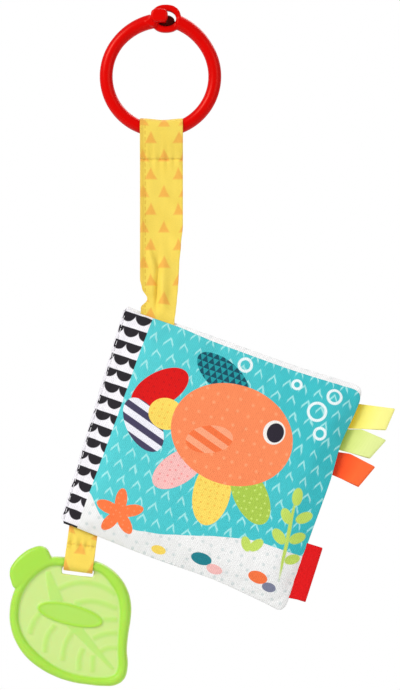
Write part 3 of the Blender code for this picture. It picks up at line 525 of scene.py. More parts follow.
def thread_finish(name, hex_colour):
    """Twisted thread."""
    shade = Shade(name)
    where = shade.body_place()
    u, v, w = shade.apart(where)
    twist = shade.sine((u + v + w) * (2 * pi / 0.5))
    fibre = shade.noise(where, 3.0, 2.0)
    colour = shade.tint(hex_colour, twist * 0.06 + fibre * 0.1 + 0.95)
    return shade.finish(colour, fibre * 0.2 + 0.55, twist, 0.04 * MM, {"Sheen Weight": 0.1})


# Meshes
def linked(name, data):
    """A new object in the scene."""
    made = bpy.data.objects.new(name, data)
    bpy.context.scene.collection.objects.link(made)
    return made


def mesh_of(shape, name):
    """Mesh of a form that is fully built."""
    mesh = bpy.data.meshes.new(name)
    shape.to_mesh(mesh)
    shape.free()
    return mesh


def add_piece(name, mesh, material, body=None):
    """An object with its material, joined to its body where one is given."""
    piece = linked(name, mesh)
    if material is not None:
        mesh.materials.clear()
        mesh.materials.append(material)
    mesh.shade_smooth()
    if body:
        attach(piece, body)
    return piece


def settle(piece):
    """Turn a piece's modifiers into mesh."""
    graph = bpy.context.evaluated_depsgraph_get()
    mesh = bpy.data.meshes.new_from_object(
        piece.evaluated_get(graph), preserve_all_data_layers=True, depsgraph=graph
    )
    piece.modifiers.clear()
    piece.data = mesh
    mesh.shade_smooth()
    return piece


def sheet_mesh(name, columns, rows, place, flat):
    """A grid: place gives each point for two shares from 0 to 1, and flat its place on the uncut cloth."""
    shape = bmesh.new()
    layer = shape.loops.layers.uv.new(PRINT)
    shares = [(a / columns, b / rows) for b in range(rows + 1) for a in range(columns + 1)]
    points = [shape.verts.new(place(a, b)) for a, b in shares]
    for b in range(rows):
        for a in range(columns):
            first = b * (columns + 1) + a
            ring = (first, first + 1, first + columns + 2, first + columns + 1)
            face = shape.faces.new([points[k] for k in ring])
            for loop, k in zip(face.loops, ring):
                loop[layer].uv = Vector(flat(*shares[k])) * PRINT_UNIT
    return mesh_of(shape, name)


def soften(piece):
    """Round a piece's facets by one level."""
    soft = piece.modifiers.new("soft", "SUBSURF")
    soft.levels = soft.render_levels = 1
    return soft


def cloth_piece(name, grid, material, thickness, offset=0.0, smooth=True, even=True):
    """A sheet over a grid, given its thickness and smoothed, as final mesh."""
    piece = add_piece(name, sheet_mesh(name, *grid), material)
    shell = piece.modifiers.new("thickness", "SOLIDIFY")
    shell.thickness, shell.offset = thickness, offset
    shell.use_even_offset = even
    if smooth:
        soften(piece).boundary_smooth = "PRESERVE_CORNERS"
    return settle(piece)


def curve_mesh(name, splines, cyclic, settings, turn=None, swells=()):
    """Mesh of a curve object: a tube where it is 3-D, a slab where it is flat."""
    curve = bpy.data.curves.new(name, "CURVE")
    for key, value in settings.items():
        setattr(curve, key, value)
    for points in splines:
        smooth = settings.get("resolution_u", 1) > 1
        spline = curve.splines.new("BEZIER" if smooth else "POLY")
        knots = spline.bezier_points if smooth else spline.points
        knots.add(len(points) - 1)
        for knot, point in zip(knots, points):
            if smooth:
                knot.co = point
                knot.handle_left_type = knot.handle_right_type = "AUTO"
            else:
                knot.co = (*point, 1)
        for knot, swell in zip(knots, swells):
            knot.radius = swell
        spline.use_cyclic_u = cyclic
    holder = linked(name, curve)
    graph = bpy.context.evaluated_depsgraph_get()
    mesh = bpy.data.meshes.new_from_object(holder.evaluated_get(graph))
    bpy.data.objects.remove(holder)
    bpy.data.curves.remove(curve)
    shape = bmesh.new()
    shape.from_mesh(mesh)
    bmesh.ops.remove_doubles(shape, verts=shape.verts, dist=0.001 * MM)
    if turn is not None:
        bmesh.ops.transform(shape, matrix=turn, verts=shape.verts)
    bmesh.ops.recalc_face_normals(shape, faces=shape.faces)
    shape.to_mesh(mesh)
    shape.free()
    return mesh


UPRIGHT = Matrix(((1, 0, 0, 0), (0, 0, -1, 0), (0, 1, 0, 0), (0, 0, 0, 1)))


def flat_slab(name, outlines, thickness, edge, smooth=1):
    """A slab cut to outlines in x and z, with round edges."""
    settings = {
        "dimensions": "2D", "fill_mode": "BOTH", "resolution_u": smooth, "offset": -edge,
        "extrude": thickness / 2 - edge, "bevel_depth": edge, "bevel_resolution": 3,
    }
    return curve_mesh(name, [[(x, z, 0) for x, z in o] for o in outlines], True, settings, UPRIGHT)


def round_tube(name, lines, radius, smooth=1, cyclic=False, sides=4, swells=()):
    """A tube along each line, its ends closed."""
    settings = {
        "dimensions": "3D", "resolution_u": smooth, "bevel_depth": radius,
        "bevel_resolution": sides, "use_fill_caps": True,
    }
    return curve_mesh(name, lines, cyclic, settings, None, swells)


def block(name, low, high, edge):
    shape = bmesh.new()
    bmesh.ops.create_cube(shape, size=1)
    for point in shape.verts:
        point.co = [(a + b) / 2 + c * (b - a) for a, b, c in zip(low, high, point.co)]
    bmesh.ops.bevel(shape, geom=shape.edges[:], offset=edge, segments=4, affect="EDGES", profile=0.5)
    return mesh_of(shape, name)


def fused(name, meshes, voxel, passes, place, material, body):
    """Several closed forms melted into one moulding, with small fillets where they meet."""
    shape = bmesh.new()
    for mesh in meshes:
        shape.from_mesh(mesh)
    piece = add_piece(name, mesh_of(shape, name), material)
    melt = piece.modifiers.new("melt", "REMESH")
    melt.mode, melt.voxel_size, melt.use_smooth_shade = "VOXEL", voxel, True
    ease = piece.modifiers.new("ease", "SMOOTH")
    ease.factor, ease.iterations = 0.5, passes
    settle(piece)
    piece.data.transform(place)
    piece.data.materials.clear()
    piece.data.materials.append(material)
    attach(piece, body)
    return piece


def oval_line(centre, half_width, half_height, fullness=1.0, steps=64):
    """Outline of an oval, squarer as its fullness drops below one."""
    line = []
    for k in range(steps):
        x, z = cos(2 * pi * k / steps), sin(2 * pi * k / steps)
        across, up = copysign(abs(x) ** fullness, x), copysign(abs(z) ** fullness, z)
        line.append((centre[0] + half_width * across, centre[1] + half_height * up))
    return line


def ease_between(a, b, share):
    """A smooth step from 0 at a to 1 at b."""
    share = min(1, max(0, (share - a) / (b - a)))
    return share * share * (3 - 2 * share)


def bell(value, middle, width):
    """A hump of one at the middle, which falls to nothing either side."""
    return exp(-(((value - middle) / width) ** 2))


def ripple(x, z, seed, size):
    """A smooth wave from -1 to 1 with bumps of about that size."""
    return noise.noise(Vector((x / size, z / size, seed)))


# Book
def plan_point(corners, across, up):
    """Place on a leaf at shares from -1 to 1: corners round, top and ribbon side drawn in."""
    edge_a, edge_b = 1 - CORNER_RADIUS / HALF_WIDTH, 1 - CORNER_RADIUS / HALF_HEIGHT
    a, b = (across - edge_a) / (1 - edge_a), (abs(up) - edge_b) / (1 - edge_b)
    if a > 0 and b > 0:
        across = edge_a + a * sqrt(1 - b * b / 2) * (1 - edge_a)
        up = (edge_b + b * sqrt(1 - a * a / 2) * (1 - edge_b)) * (1 if up > 0 else -1)
    low = corners[0].lerp(corners[1], (across + 1) / 2)
    high = corners[3].lerp(corners[2], (across + 1) / 2)
    place = low.lerp(high, (up + 1) / 2)
    regain = 0.55 * (CORNERS["top_left"].y - corners[3].y) * (1 - ease_between(-40 * MM, -12 * MM, place.x))
    dip = TOP_DIP * bell(place.x, TOP_DIP_PLACE, 34 * MM) - regain
    spine = CORNERS["bottom_left"].lerp(CORNERS["top_left"], (up + 1) / 2).x
    cut = corner_cut(place.x - spine, (1 - abs(up)) * HALF_HEIGHT)
    nip = RIBBON_NIP * bell(place.y, RIBBON_NIP_PLACE, 13 * MM) * max(0, across) ** 6
    below = max(0, -up) ** 3
    rise = (1.7 * bell(place.x, 24 * MM, 24 * MM) - 1.4 * bell(place.x, 64 * MM, 7 * MM)) * MM
    flare = 0.9 * MM * max(0, across) ** 4 * below
    return place + Vector((cut - nip + flare, rise * below - dip * max(0, up) ** 3))


def corner_cut(from_spine, from_end):
    """How far the spine's ends are cut back, in metres."""
    return 1.9 * MM * exp(-from_spine / (1.6 * MM)) * bell(from_end, 0, 1.5 * MM)


def leaf_corners(start, drop=0.0, shy=0.0):
    """Corners of a leaf: how far from the spine it starts, and how far its top and far side fall short."""
    inset, short, lower = Vector((start, 0)), Vector((shy, 0)), Vector((0, drop))
    return (
        CORNERS["bottom_left"] + inset,
        CORNERS["bottom_right"] - short,
        CORNERS["top_right"] - short - lower,
        CORNERS["top_left"] + inset - lower,
    )


def spread(share):
    """A share moved so that a grid is finer toward its edges."""
    return 0.75 * sin(pi / 2 * share) + 0.25 * share


SWELL_SCALE = 5
SWELL_FRAMES = 18
SWELL_SLACK = 0.012
SWELL_PRESSURE = 3.0
SWELL_CAP = 1.3 * MM


def swell(piece, held):
    """Blow a closed cloth form up with its seams held, no point moving further than the cap."""
    scene = bpy.context.scene
    mesh = piece.data
    start = [v.co.copy() for v in mesh.vertices]
    mesh.transform(Matrix.Scale(SWELL_SCALE, 4))
    group = piece.vertex_groups.new(name="seam")
    group.add(held, 1, "REPLACE")
    cloth = piece.modifiers.new("swell", "CLOTH")
    fabric = cloth.settings
    fabric.quality = 6
    fabric.mass = 0.2
    fabric.tension_stiffness = fabric.compression_stiffness = 18
    fabric.shear_stiffness = 6
    fabric.bending_stiffness = 0.15
    fabric.vertex_group_mass = "seam"
    fabric.use_pressure = True
    fabric.uniform_pressure_force = SWELL_PRESSURE
    fabric.shrink_min = -SWELL_SLACK
    fabric.effector_weights.gravity = 0
    cloth.collision_settings.use_collision = False
    cloth.point_cache.frame_start, cloth.point_cache.frame_end = 1, SWELL_FRAMES
    for number in range(1, SWELL_FRAMES + 1):
        scene.frame_set(number)
    graph = bpy.context.evaluated_depsgraph_get()
    moved = [v.co / SWELL_SCALE for v in piece.evaluated_get(graph).data.vertices]
    piece.modifiers.remove(cloth)
    scene.frame_set(1)
    for point, old, new in zip(mesh.vertices, start, moved):
        step = new - old
        point.co = old + step * min(1, SWELL_CAP / max(step.length, 1e-9))


def make_pad(name, corners, facing, depths, bodies, materials, counts, seed, open_side):
    """A padded leaf: outer and inner cloth sewn together round its edge and filled between."""
    columns, rows = counts
    outer_depth, inner_depth = depths
    shape = bmesh.new()
    layer = shape.loops.layers.uv.new(PRINT)
    seams, spots = set(), {}
    for b in range(rows + 1):
        for a in range(columns + 1):
            across, up = spread(2 * a / columns - 1), spread(2 * b / rows - 1)
            plan = plan_point(corners, across, up)
            edge = b in (0, rows) or a == columns or (a == 0 and not open_side)
            pair = []
            for side, depth in enumerate((outer_depth, inner_depth)):
                if edge and side:
                    pair.append(pair[0])
                    continue
                level = depth(across, up)
                wave = 0.25 * MM * ripple(plan.x, plan.y, seed + side, 16 * MM)
                level += 0 if edge else wave * (1 if side == 0 else 0.3)
                point = shape.verts.new((plan.x, facing * level, plan.y))
                pair.append(point)
            spots[a, b] = (pair, plan)
            if edge or a == 0:
                seams.update(pair)
    for side in (0, 1):
        for b in range(rows):
            for a in range(columns):
                ring = ((a, b), (a + 1, b), (a + 1, b + 1), (a, b + 1))
                if (side == 0) == (facing > 0):
                    ring = ring[::-1]
                face = shape.faces.new([spots[k][0][side] for k in ring])
                face.material_index = side
                for loop, k in zip(face.loops, ring):
                    loop[layer].uv = spots[k][1] * PRINT_UNIT
    if open_side:
        for b in range(rows):
            low, high = spots[0, b][0], spots[0, b + 1][0]
            ring = list(dict.fromkeys((low[0], low[1], high[1], high[0])))
            face = shape.faces.new(ring)
            face.material_index = 1
            for loop in face.loops:
                loop[layer].uv = spots[0, b][1] * PRINT_UNIT
    shape.verts.index_update()
    held = [v.index for v in seams]
    bmesh.ops.recalc_face_normals(shape, faces=shape.faces)
    mesh = mesh_of(shape, name)
    piece = add_piece(name, mesh, None)
    for material in materials:
        mesh.materials.append(material)
    swell(piece, held)
    low, high = sorted((facing * bodies[1], facing * bodies[2]))
    for point in mesh.vertices:
        point.co.y = min(high, max(low, point.co.y))
    soften(piece)
    settle(piece)
    piece.data.transform(book)
    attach(piece, bodies[0])
    return piece


def seam_distance(across, up, open_side=True):
    """How far inside the sewn sides a place is, in metres."""
    sides = [(1 - across) * HALF_WIDTH, (1 - abs(up)) * HALF_HEIGHT]
    if not open_side:
        sides.append((1 + across) * HALF_WIDTH)
    return min(sides)


def crown(across, up):
    """How full the padding is, from none at the edge to one in the middle."""
    full = 1.0
    for share, half in ((across, HALF_WIDTH), (up, HALF_HEIGHT)):
        inward = min(1, (1 - abs(share)) * half / (15 * MM))
        full *= 1 - (1 - inward) ** 2.2
    return full


def puckers(across, up, seed):
    """Small pulls at right angles to the sewn sides, which die away inward."""
    inward = seam_distance(across, up)
    by_side = (1 - across) * HALF_WIDTH < (1 - abs(up)) * HALF_HEIGHT
    along = up * HALF_HEIGHT if by_side else across * HALF_WIDTH
    wave = sin(along / (1.5 * MM) + 4 * ripple(along, 0, seed, 9 * MM))
    return 0.16 * MM * wave * exp(-inward / (3.5 * MM)) * min(1, inward / (0.8 * MM))


def cover_face_depth(across, up):
    """Outer cloth of a cover: from its seam up to the full middle, and at the spine up to the band."""
    inward = seam_distance(across, up)
    rise = 1 - exp(-inward / SEAM_ROLL)
    edge = SEAM_DEPTH + (WRAP_DEPTH - SEAM_DEPTH) * rise
    return edge + (COVER_OUT - WRAP_DEPTH) * crown(across, up) + puckers(across, up, 3)


def cover_lining_depth(across, up):
    rise = 1 - exp(-seam_distance(across, up) / SEAM_ROLL)
    return SEAM_DEPTH - (SEAM_DEPTH - COVER_INNER) * rise


def page_depth(across, up):
    inward = seam_distance(across, up, False)
    rise = 1 - exp(-inward / SEAM_ROLL)
    return PAGE_HALF * (0.45 * rise + 0.5 * crown(across, up))


def other_page_depth(across, up):
    return -page_depth(across, up)


def make_wrap(name, facing, material):
    """The printed cloth between the spine's edge and the cover."""
    drop = COVER_DROP if facing < 0 else 0
    path = [
        (0.2, 0), (0.22, 1.1), (0.36, 1.9), (0.65, 2.45), (1.0, 2.62), (1.35, 2.58), (1.6, 2.52),
        (1.9, 2.62), (2.4, 2.95), (3.0, 3.2), (3.8, 3.38), (4.5, 3.46), (5.2, 3.5), (5.7, 3.52),
    ]
    overlap = 0.5 * MM
    lengths = [0.0]
    for (x0, y0), (x1, y1) in zip(path, path[1:]):
        lengths.append(lengths[-1] + hypot(x1 - x0, y1 - y0))

    def at(share):
        target = share * lengths[-1]
        k = max(i for i in range(len(path) - 1) if lengths[i] <= target)
        part = (target - lengths[k]) / (lengths[k + 1] - lengths[k])
        return [(a + (b - a) * part) * MM for a, b in zip(path[k], path[k + 1])]

    def spot(b):
        up = spread(2 * b - 1)
        start = plan_point(leaf_corners(COVER_START, drop), -1, up)
        return up, start

    def place(a, b):
        up, start = spot(b)
        x, depth = at(a)
        inward = (1 - abs(up)) * HALF_HEIGHT
        tuck = 1 - exp(-inward / SEAM_ROLL)
        depth = depth * (0.8 + 0.2 * tuck) if a < 0.6 else depth - (WRAP_DEPTH - SEAM_DEPTH) * (1 - tuck)
        pull = 0.15 * MM * sin(start.y / (1.4 * MM)) * bell(x, 1.6 * MM, 1.2 * MM)
        ragged = 0.35 * MM * ripple(start.y, 0, 50, 2.4 * MM) * exp(-x / MM)
        x += corner_cut(x, inward) + ragged
        return book @ Vector((start.x - COVER_START + x, facing * (depth + pull), start.y))

    def flat(a, b):
        _, start = spot(b)
        return (start.x + overlap - (1 - a) * lengths[-1] * MM, start.y)

    grid = (26, 70, place, flat)
    piece = cloth_piece(name, grid, material, SPINE_CLOTH, facing, smooth=False)
    cut_from(piece, 12.0 * MM, 0.115)
    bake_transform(piece)
    return piece


# Strap
SIDES = (
    (0.00, -1.00, 1.00), (0.42, -1.00, 1.00), (0.55, -1.00, 0.91), (0.67, -1.00, 0.83),
    (0.77, -1.00, 0.80), (0.83, -0.91, 0.77), (0.90, -0.66, 0.72),
    (0.95, -0.74, 0.67), (1.00, -0.93, 0.61), (1.06, -0.93, 0.61),
)


def strap_sides(down, flare):
    """Left and right side of the strap, in halves of its width."""
    for upper, lower in zip(SIDES, SIDES[1:]):
        if down <= lower[0]:
            mix = ease_between(upper[0], lower[0], down)
            left, right = (a + (b - a) * mix for a, b in zip(upper[1:], lower[1:]))
            return left + flare * (-0.96 - left), right
    return SIDES[-1][1:]


def strap_place(a, down, layer):
    """Point of the doubled strap: layer is -1 for the front cloth and 1 for the back."""
    flare = ease_between(0.915, 0.985, down) if layer > 0 else 0
    left, right = strap_sides(down, flare)
    x = (left + (right - left) * a) * STRAP_WIDTH / 2
    slope = BOOK_TILT - TOP_LEAN
    turn = max(0, (down - 0.8) / 0.2) ** 2
    z = THROAT - down * STRAP_LENGTH - (x + STRAP_DRIFT) * tan(slope) * min(1, turn)
    calm = min(1, max(0, down) / 0.1, max(0, 1 - down) / 0.13)
    deep = max(0, down - 0.45) / 0.55
    fold = -2.2 * deep * bell(x, -STRAP_DRIFT + 2.6 * MM, 2.6 * MM)
    crease = 2.4 * ease_between(0.58, 0.8, down) * bell(x, -2.6 * MM + 2.4 * MM * (1 - down), 1.2 * MM)
    second = -1.4 * bell(down, 0.66, 0.09) * bell(x, -4.6 * MM + 26 * MM * (down - 0.66), 1.5 * MM)
    sway = 0.7 * sin(pi * min(1, max(0, down))) * cos(pi * x / STRAP_WIDTH)
    below = down * STRAP_LENGTH / MM
    near = ease_between(-0.6, 0.7, below) * exp(-max(0, below - 0.7) / 2.6)
    gather = layer * seam_gather(x, layer) * exp(-max(0, below) / 2.6)
    foot = ease_between(0.955, 0.992, down)
    hem = -0.3 * bell(x, -STRAP_WIDTH / 2 + 1.3 * MM, 1.1 * MM)
    wave = 0.35 * calm * ripple(x, 0.55 * z, 40, 6 * MM)
    apart = layer * (0.42 + 0.5 * near - 0.17 * foot)
    y = apart + calm * (fold + crease + second + sway) + wave - 1.15 * foot
    y += hem * (1 - foot) if layer < 0 else 0
    return Vector((x + STRAP_OFFSET, y * MM + gather, z))


def make_strap(name, layer, material):
    """One of the strap's two cloths, in two lengths split at its middle."""
    low, high = -0.014, 1.045

    def place(a, b):
        return strap_place(a, low + (high - low) * b, layer)

    def flat(a, b):
        left, right = strap_sides(low + (high - low) * b, 0)
        x = (left + (right - left) * a) * STRAP_WIDTH / 2
        return (x, -(low + (high - low) * b) * STRAP_LENGTH)

    whole = cloth_piece(name, (30, 84, place, flat), material, STRAP_CLOTH)
    hinge = joint_frame("book_swing", up=False)
    upper_end = [(0, 0, THROAT + 1.0 * MM), (0, 0, THROAT - 3.0 * MM)]
    lower_end = [hinge @ Vector((0, 0, z)) for z in (3.0 * MM, -0.6 * MM)]
    lengths = (("upper", 1, "hanger_loop", "strap", upper_end), ("lower", -1, "strap", "book", lower_end))
    pieces = []
    for half, side, first, second, ends in lengths:
        part_mesh = whole.data.copy()
        shape = bmesh.new()
        shape.from_mesh(part_mesh)
        middle = THROAT - STRAP_LENGTH / 2
        away = [f for f in shape.faces if (f.calc_center_median().z - middle) * side < 0]
        bmesh.ops.delete(shape, geom=away, context="FACES")
        end = [edge for edge in shape.edges if edge.is_boundary]
        for face in bmesh.ops.holes_fill(shape, edges=end)["faces"]:
            for edge in face.edges:
                edge.smooth = False
        shape.to_mesh(part_mesh)
        shape.free()
        piece = add_piece(f"{name}_{half}", part_mesh, material, None)
        cut_from(piece, STRAP_WIDTH)
        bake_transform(piece)
        pieces.append(piece)
    bpy.data.objects.remove(whole)
    return pieces


def cut_from(piece, width, length=0):
    """Length of flat cloth a sheet was cut from, worked out from half of its surface; the result is not
    kept.
    """
    area = sum(face.area for face in piece.data.polygons) / 2
    max(length, area / width * 1.02)


def teardrop(share, room, crest, bottom, throat):
    """Cross-section of cloth that wraps a tube and closes below it, front to back, in metres."""
    side = room + 0.35 * MM
    straight = hypot(side - throat, -bottom)
    arc = pi * side + 2 * crest
    total = 2 * straight + arc
    run = share * total
    if run < straight:
        part = run / straight
        bow = 0.35 * MM * sin(pi * part)
        return -(throat + (side - throat) * part) - bow, bottom * (1 - part)
    if run > total - straight:
        y, z = teardrop(1 - share, room, crest, bottom, throat)
        return -y, z
    run -= straight
    if run < crest:
        return -side, run
    if run > arc - crest:
        return side, arc - run
    angle = (run - crest) / side
    return -side * cos(angle), crest + (side - 0.4 * MM) * sin(angle)


def seam_gather(x, side):
    """Small pleats that a stitched row pulls into the strap, in metres."""
    pull = 0.6 + 0.4 * ripple(x, 0, 20 + side, 3 * MM)
    return pull * 0.6 * MM * sin(x / (0.62 * MM) + 1.5 * ripple(x, 0, 30 + side, 4 * MM))


def make_hanger_loop(material):
    crest = RING_RADIUS - sqrt(RING_INSIDE**2 - (STRAP_WIDTH / 2) ** 2) - RING_TUBE
    bottom = THROAT + RING_RADIUS + 0.35 * MM
    around = 47.1 * MM

    def place(a, b):
        x = (a - 0.5) * STRAP_WIDTH
        y, z = teardrop(b, RING_TUBE + 0.25 * MM, crest, bottom, 0.85 * MM)
        gather = seam_gather(x, 1 if y > 0 else -1) * exp(-(z - bottom) / (3.4 * MM))
        soft = 0.3 * MM * ripple(x, z, 5 if y < 0 else 8, 6 * MM) * min(1, (z - bottom) / (4 * MM))
        sag = 0.9 * MM * bell(x, 1 * MM, 7 * MM) * ease_between(0, crest, z)
        grow = 1 if y > 0 else -1
        return Vector((x + STRAP_OFFSET, y + grow * (gather + soft * 0.6), z - RING_RADIUS - sag))

    def flat(a, b):
        return ((a - 0.5) * STRAP_WIDTH, (0.5 - abs(b - 0.5)) * around)

    grid = (34, 60, place, flat)
    piece = cloth_piece("hanger_loop_cloth", grid, material, LOOP_CLOTH)
    cut_from(piece, STRAP_WIDTH)
    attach(piece, "hanger_loop")
    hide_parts("hanger_loop")
    return piece


def make_stitches(name, points, length, gap, radius, material, body):
    """Separate stitches along a line of points."""
    lines, run, start = [], 0.0, None
    for a, b in zip(points, points[1:]):
        steps = max(1, round((b - a).length / (0.2 * MM)))
        for k in range(steps):
            spot = a.lerp(b, k / steps)
            phase = run % (length + gap)
            if phase < length:
                start = start or []
                start.append(spot)
            elif start:
                lines.append(start)
                start = None
            run += (b - a).length / steps
    if start:
        lines.append(start)
    ends = [(line[0], line[len(line) // 2], line[-1]) for line in lines if len(line) > 4]
    mesh = round_tube(name, [[tuple(p) for p in line] for line in ends], radius, 3, sides=2)
    return add_piece(name, mesh, material, body)


# Tags
def make_tag(name, joint, node, material, corners, bulge, sway, crook=0):
    """A ribbon folded double, its ends in the seam, its fold outward and its high edge crooked."""
    low_root, high_root, high_end, low_end = (Vector(c) * MM for c in corners)
    back = 2.4 * MM
    length = ((low_end + high_end) / 2 - (low_root + high_root) / 2).length
    width = (high_root - low_root).length
    total = 2 * (length + back)
    depth = joints[joint]["pos_m"][1]

    def place(a, b):
        run = b * total
        front = run < total / 2
        x = (run if front else total - run) - back
        share = x / length
        low, high = low_root.lerp(low_end, share), high_root.lerp(high_end, share)
        high.y += crook * max(0, min(share / 0.3, (1 - share) / 0.7))
        spot = low.lerp(high, a)
        out = max(0, share)
        near_fold = (length - x) / (1.2 * MM)
        gap = bulge * sqrt(max(0, min(1, near_fold))) * (0.35 + 0.65 * ease_between(0, 0.8, out))
        lift = sway * MM * (sin(2.2 * out * pi + 0.6) * out + 0.8 * sin(pi * (a - 0.5)) * out)
        shift = (0 if front else -0.5 * MM) * ease_between(0.2, 1, out)
        return book @ Vector((spot.x, depth + (-gap if front else gap) + lift, spot.y + shift))

    def flat(a, b):
        return (b * total, (a - 0.5) * width)

    piece = cloth_piece(name, (16, 60, place, flat), material, RIBBON_CLOTH, even=False)
    cut_from(piece, width)
    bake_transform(piece)
    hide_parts(node)
    return piece


# Leaf
LEAF_REACH = 58.0 * MM
RIM = (
    (0.232, -0.029, 1.05), (0.340, -0.109, 1.22), (0.413, -0.205, 1.24), (0.454, -0.318, 1.24),
    (0.466, -0.432, 1.18), (0.468, -0.571, 1.06), (0.478, -0.706, 1.00), (0.501, -0.852, 1.06),
    (0.484, -0.936, 1.14), (0.436, -0.976, 1.10), (0.363, -0.995, 1.00), (0.224, -1.004, 0.95),
    (0.074, -0.998, 0.98), (-0.067, -0.968, 1.04), (-0.195, -0.915, 1.14), (-0.308, -0.845, 1.20),
    (-0.406, -0.749, 1.12), (-0.481, -0.618, 1.02), (-0.508, -0.483, 1.00), (-0.500, -0.353, 1.00),
    (-0.468, -0.250, 1.00), (-0.405, -0.145, 1.00), (-0.322, -0.062, 1.00), (-0.245, -0.016, 1.00),
)
STEM = (
    (-0.526, -0.288), (-0.574, -0.224), (-0.595, -0.138), (-0.576, -0.074), (-0.493, 0.036),
    (-0.428, 0.084), (-0.352, 0.111), (-0.300, 0.096), (-0.262, 0.048), (-0.235, -0.010),
    (-0.380, -0.130), (-0.470, -0.250),
)
MAIN_VEINS = (
    ((-0.257, -0.103, 1.0), (-0.230, -0.175, 1.6), (-0.192, -0.259, 2.4), (-0.147, -0.360, 3.2)),
    ((0.007, -0.517, 2.9), (0.108, -0.610, 2.1), (0.249, -0.733, 1.3), (0.419, -0.875, 0.5)),
)
VEINS = (
    ((-0.154, -0.245), (-0.040, -0.182), (0.089, -0.155), (0.239, -0.172), (0.354, -0.222)),
    ((0.011, -0.350), (0.139, -0.311), (0.258, -0.317), (0.381, -0.345)),
    ((0.277, -0.456), (0.397, -0.440)),
    ((0.212, -0.634), (0.294, -0.587), (0.412, -0.556)),
    ((0.273, -0.760), (0.341, -0.706), (0.430, -0.687)),
    ((-0.283, -0.478), (-0.330, -0.573), (-0.347, -0.665)),
    ((-0.138, -0.563), (-0.190, -0.674), (-0.194, -0.808)),
    ((0.028, -0.585), (-0.022, -0.710), (-0.032, -0.860)),
    ((0.136, -0.733), (0.117, -0.811), (0.126, -0.928)),
    ((0.231, -0.780), (0.244, -0.927)),
)


def make_leaf(material):
    """The leaf: rim, thin web with its slot, stem, bare plate and veins."""
    hinge = joint_frame("leaf_swing", up=False)
    bar, slot_top, slot_foot = 8.1 * MM, -2.0 * MM, -6.1 * MM
    rim_half, rim_deep = 2.55, 6.8
    web_thick, vein_thick, plate_thick = 3.0 * MM, 3.9 * MM, 4.5 * MM
    vein_half, vein_flatness = 3.2 * MM, 0.59
    bar_line = [(-bar, 0), (-bar / 2, 0), (bar / 2, 0), (bar, 0)]
    outline = bar_line + [(x * LEAF_REACH, z * LEAF_REACH) for x, z, _ in RIM]
    swells = [1.0] * len(bar_line) + [swell for _, _, swell in RIM]
    rim = round_tube("rim", [[(x, 0, z) for x, z in outline]], rim_half * MM, 6, True, 5, swells)
    rim.transform(Matrix.Diagonal((1, rim_deep / (2 * rim_half), 1, 1)))
    slot = [(-bar, slot_top), (bar, slot_top), (bar, slot_foot), (-bar, slot_foot)]
    web = flat_slab("web", [outline, slot[::-1]], web_thick, 0)
    stem_line = [(x * LEAF_REACH, z * LEAF_REACH) for x, z in STEM]
    stem = flat_slab("stem", [stem_line], rim_deep * MM, 1.9 * MM, 4)
    place = Matrix.Translation((-1.0 * MM, 0, -26.2 * MM)) @ Matrix.Rotation(radians(6.2), 4, "Y")
    plate = flat_slab("plate", [oval_line((0, 0), 16.9 * MM, 5.3 * MM)], plate_thick, 0.5 * MM)
    plate.transform(place)
    border_line = oval_line((0, 0), 16.3 * MM, 4.7 * MM)
    borders = [[place @ Vector((x, y, z)) for x, z in border_line] for y in (-2 * MM, 2 * MM)]
    veins = [round_tube("border", [border], 0.62 * MM, 1, True) for border in borders]
    for route in VEINS:
        line = [(x * LEAF_REACH, 0, z * LEAF_REACH) for x, z in route]
        veins.append(round_tube("vein", [line], vein_half, 6))
        veins[-1].transform(Matrix.Diagonal((1, vein_flatness, 1, 1)))
    for route in MAIN_VEINS:
        line = [(Vector((x, z)) * LEAF_REACH, half * MM) for x, z, half in route]
        sides = [[], []]
        for k, (spot, half) in enumerate(line):
            along = (line[min(k + 1, len(line) - 1)][0] - line[max(k - 1, 0)][0]).normalized()
            for side, sign in zip(sides, (1, -1)):
                side.append(spot + sign * half * Vector((along.y, -along.x)))
        veins.append(flat_slab("main_vein", [sides[0] + sides[1][::-1]], vein_thick, 0))
    forms = [rim, web, stem, plate, *veins]
    return fused(
        "leaf_teether_soft", forms, 0.42 * MM, 4, hinge, material, "leaf"
    )


def make_leaf_loop(material):
    """The short strap that runs through the leaf's slot."""
    hinge = joint_frame("leaf_swing", up=False)
    top, neck, width = 15.9 * MM, LEAF_LOOP_NECK, 15.0 * MM
    half_gap, upper = 0.42 * MM, top + 2.2 * MM
    loop_slope = -0.2497
    room = 3.4 * MM + 0.3 * MM

    def section(share):
        side = room + 0.3 * MM
        strap = upper - neck
        around = 2 * hypot(side, neck) * 0.98 + pi * side
        total = 2 * strap + around
        run = share * total
        if run < strap:
            return -half_gap, upper - run
        if run > total - strap:
            return half_gap, upper - (total - run)
        turn = (run - strap) / around
        angle = pi / 2 + 2 * pi * turn
        pinch = ease_between(0, 0.33, min(turn, 1 - turn))
        y, z = side * cos(angle), side * sin(angle)
        lift = (1 - pinch) * (neck - z)
        return y * pinch + (-half_gap if turn < 0.5 else half_gap) * (1 - pinch), z + lift

    def place(a, b):
        x = (a - 0.5) * width
        y, z = section(b)
        raised = max(0, (z - neck) / (top - neck))
        near = bell(z, neck, 2.4 * MM)
        side = 1 if b > 0.5 else -1
        gather = 1.3 * seam_gather(x, side) * near
        soft = 0.2 * MM * ripple(x, z, 12 + side, 5 * MM)
        return hinge @ Vector((x, y + side * (gather + soft), z + x * tan(loop_slope) * min(1.15, raised)))

    def flat(a, b):
        z = section(b)[1] - 5.9 * MM
        return ((a - 0.5) * width + 1.5 * MM, z if b < 0.5 else -20 * MM - z)

    grid = (24, 64, place, flat)
    piece = cloth_piece("leaf_loop_cloth", grid, material, LOOP_CLOTH)
    cut_from(piece, width)
    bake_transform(piece)
    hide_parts("leaf_loop")
    return piece


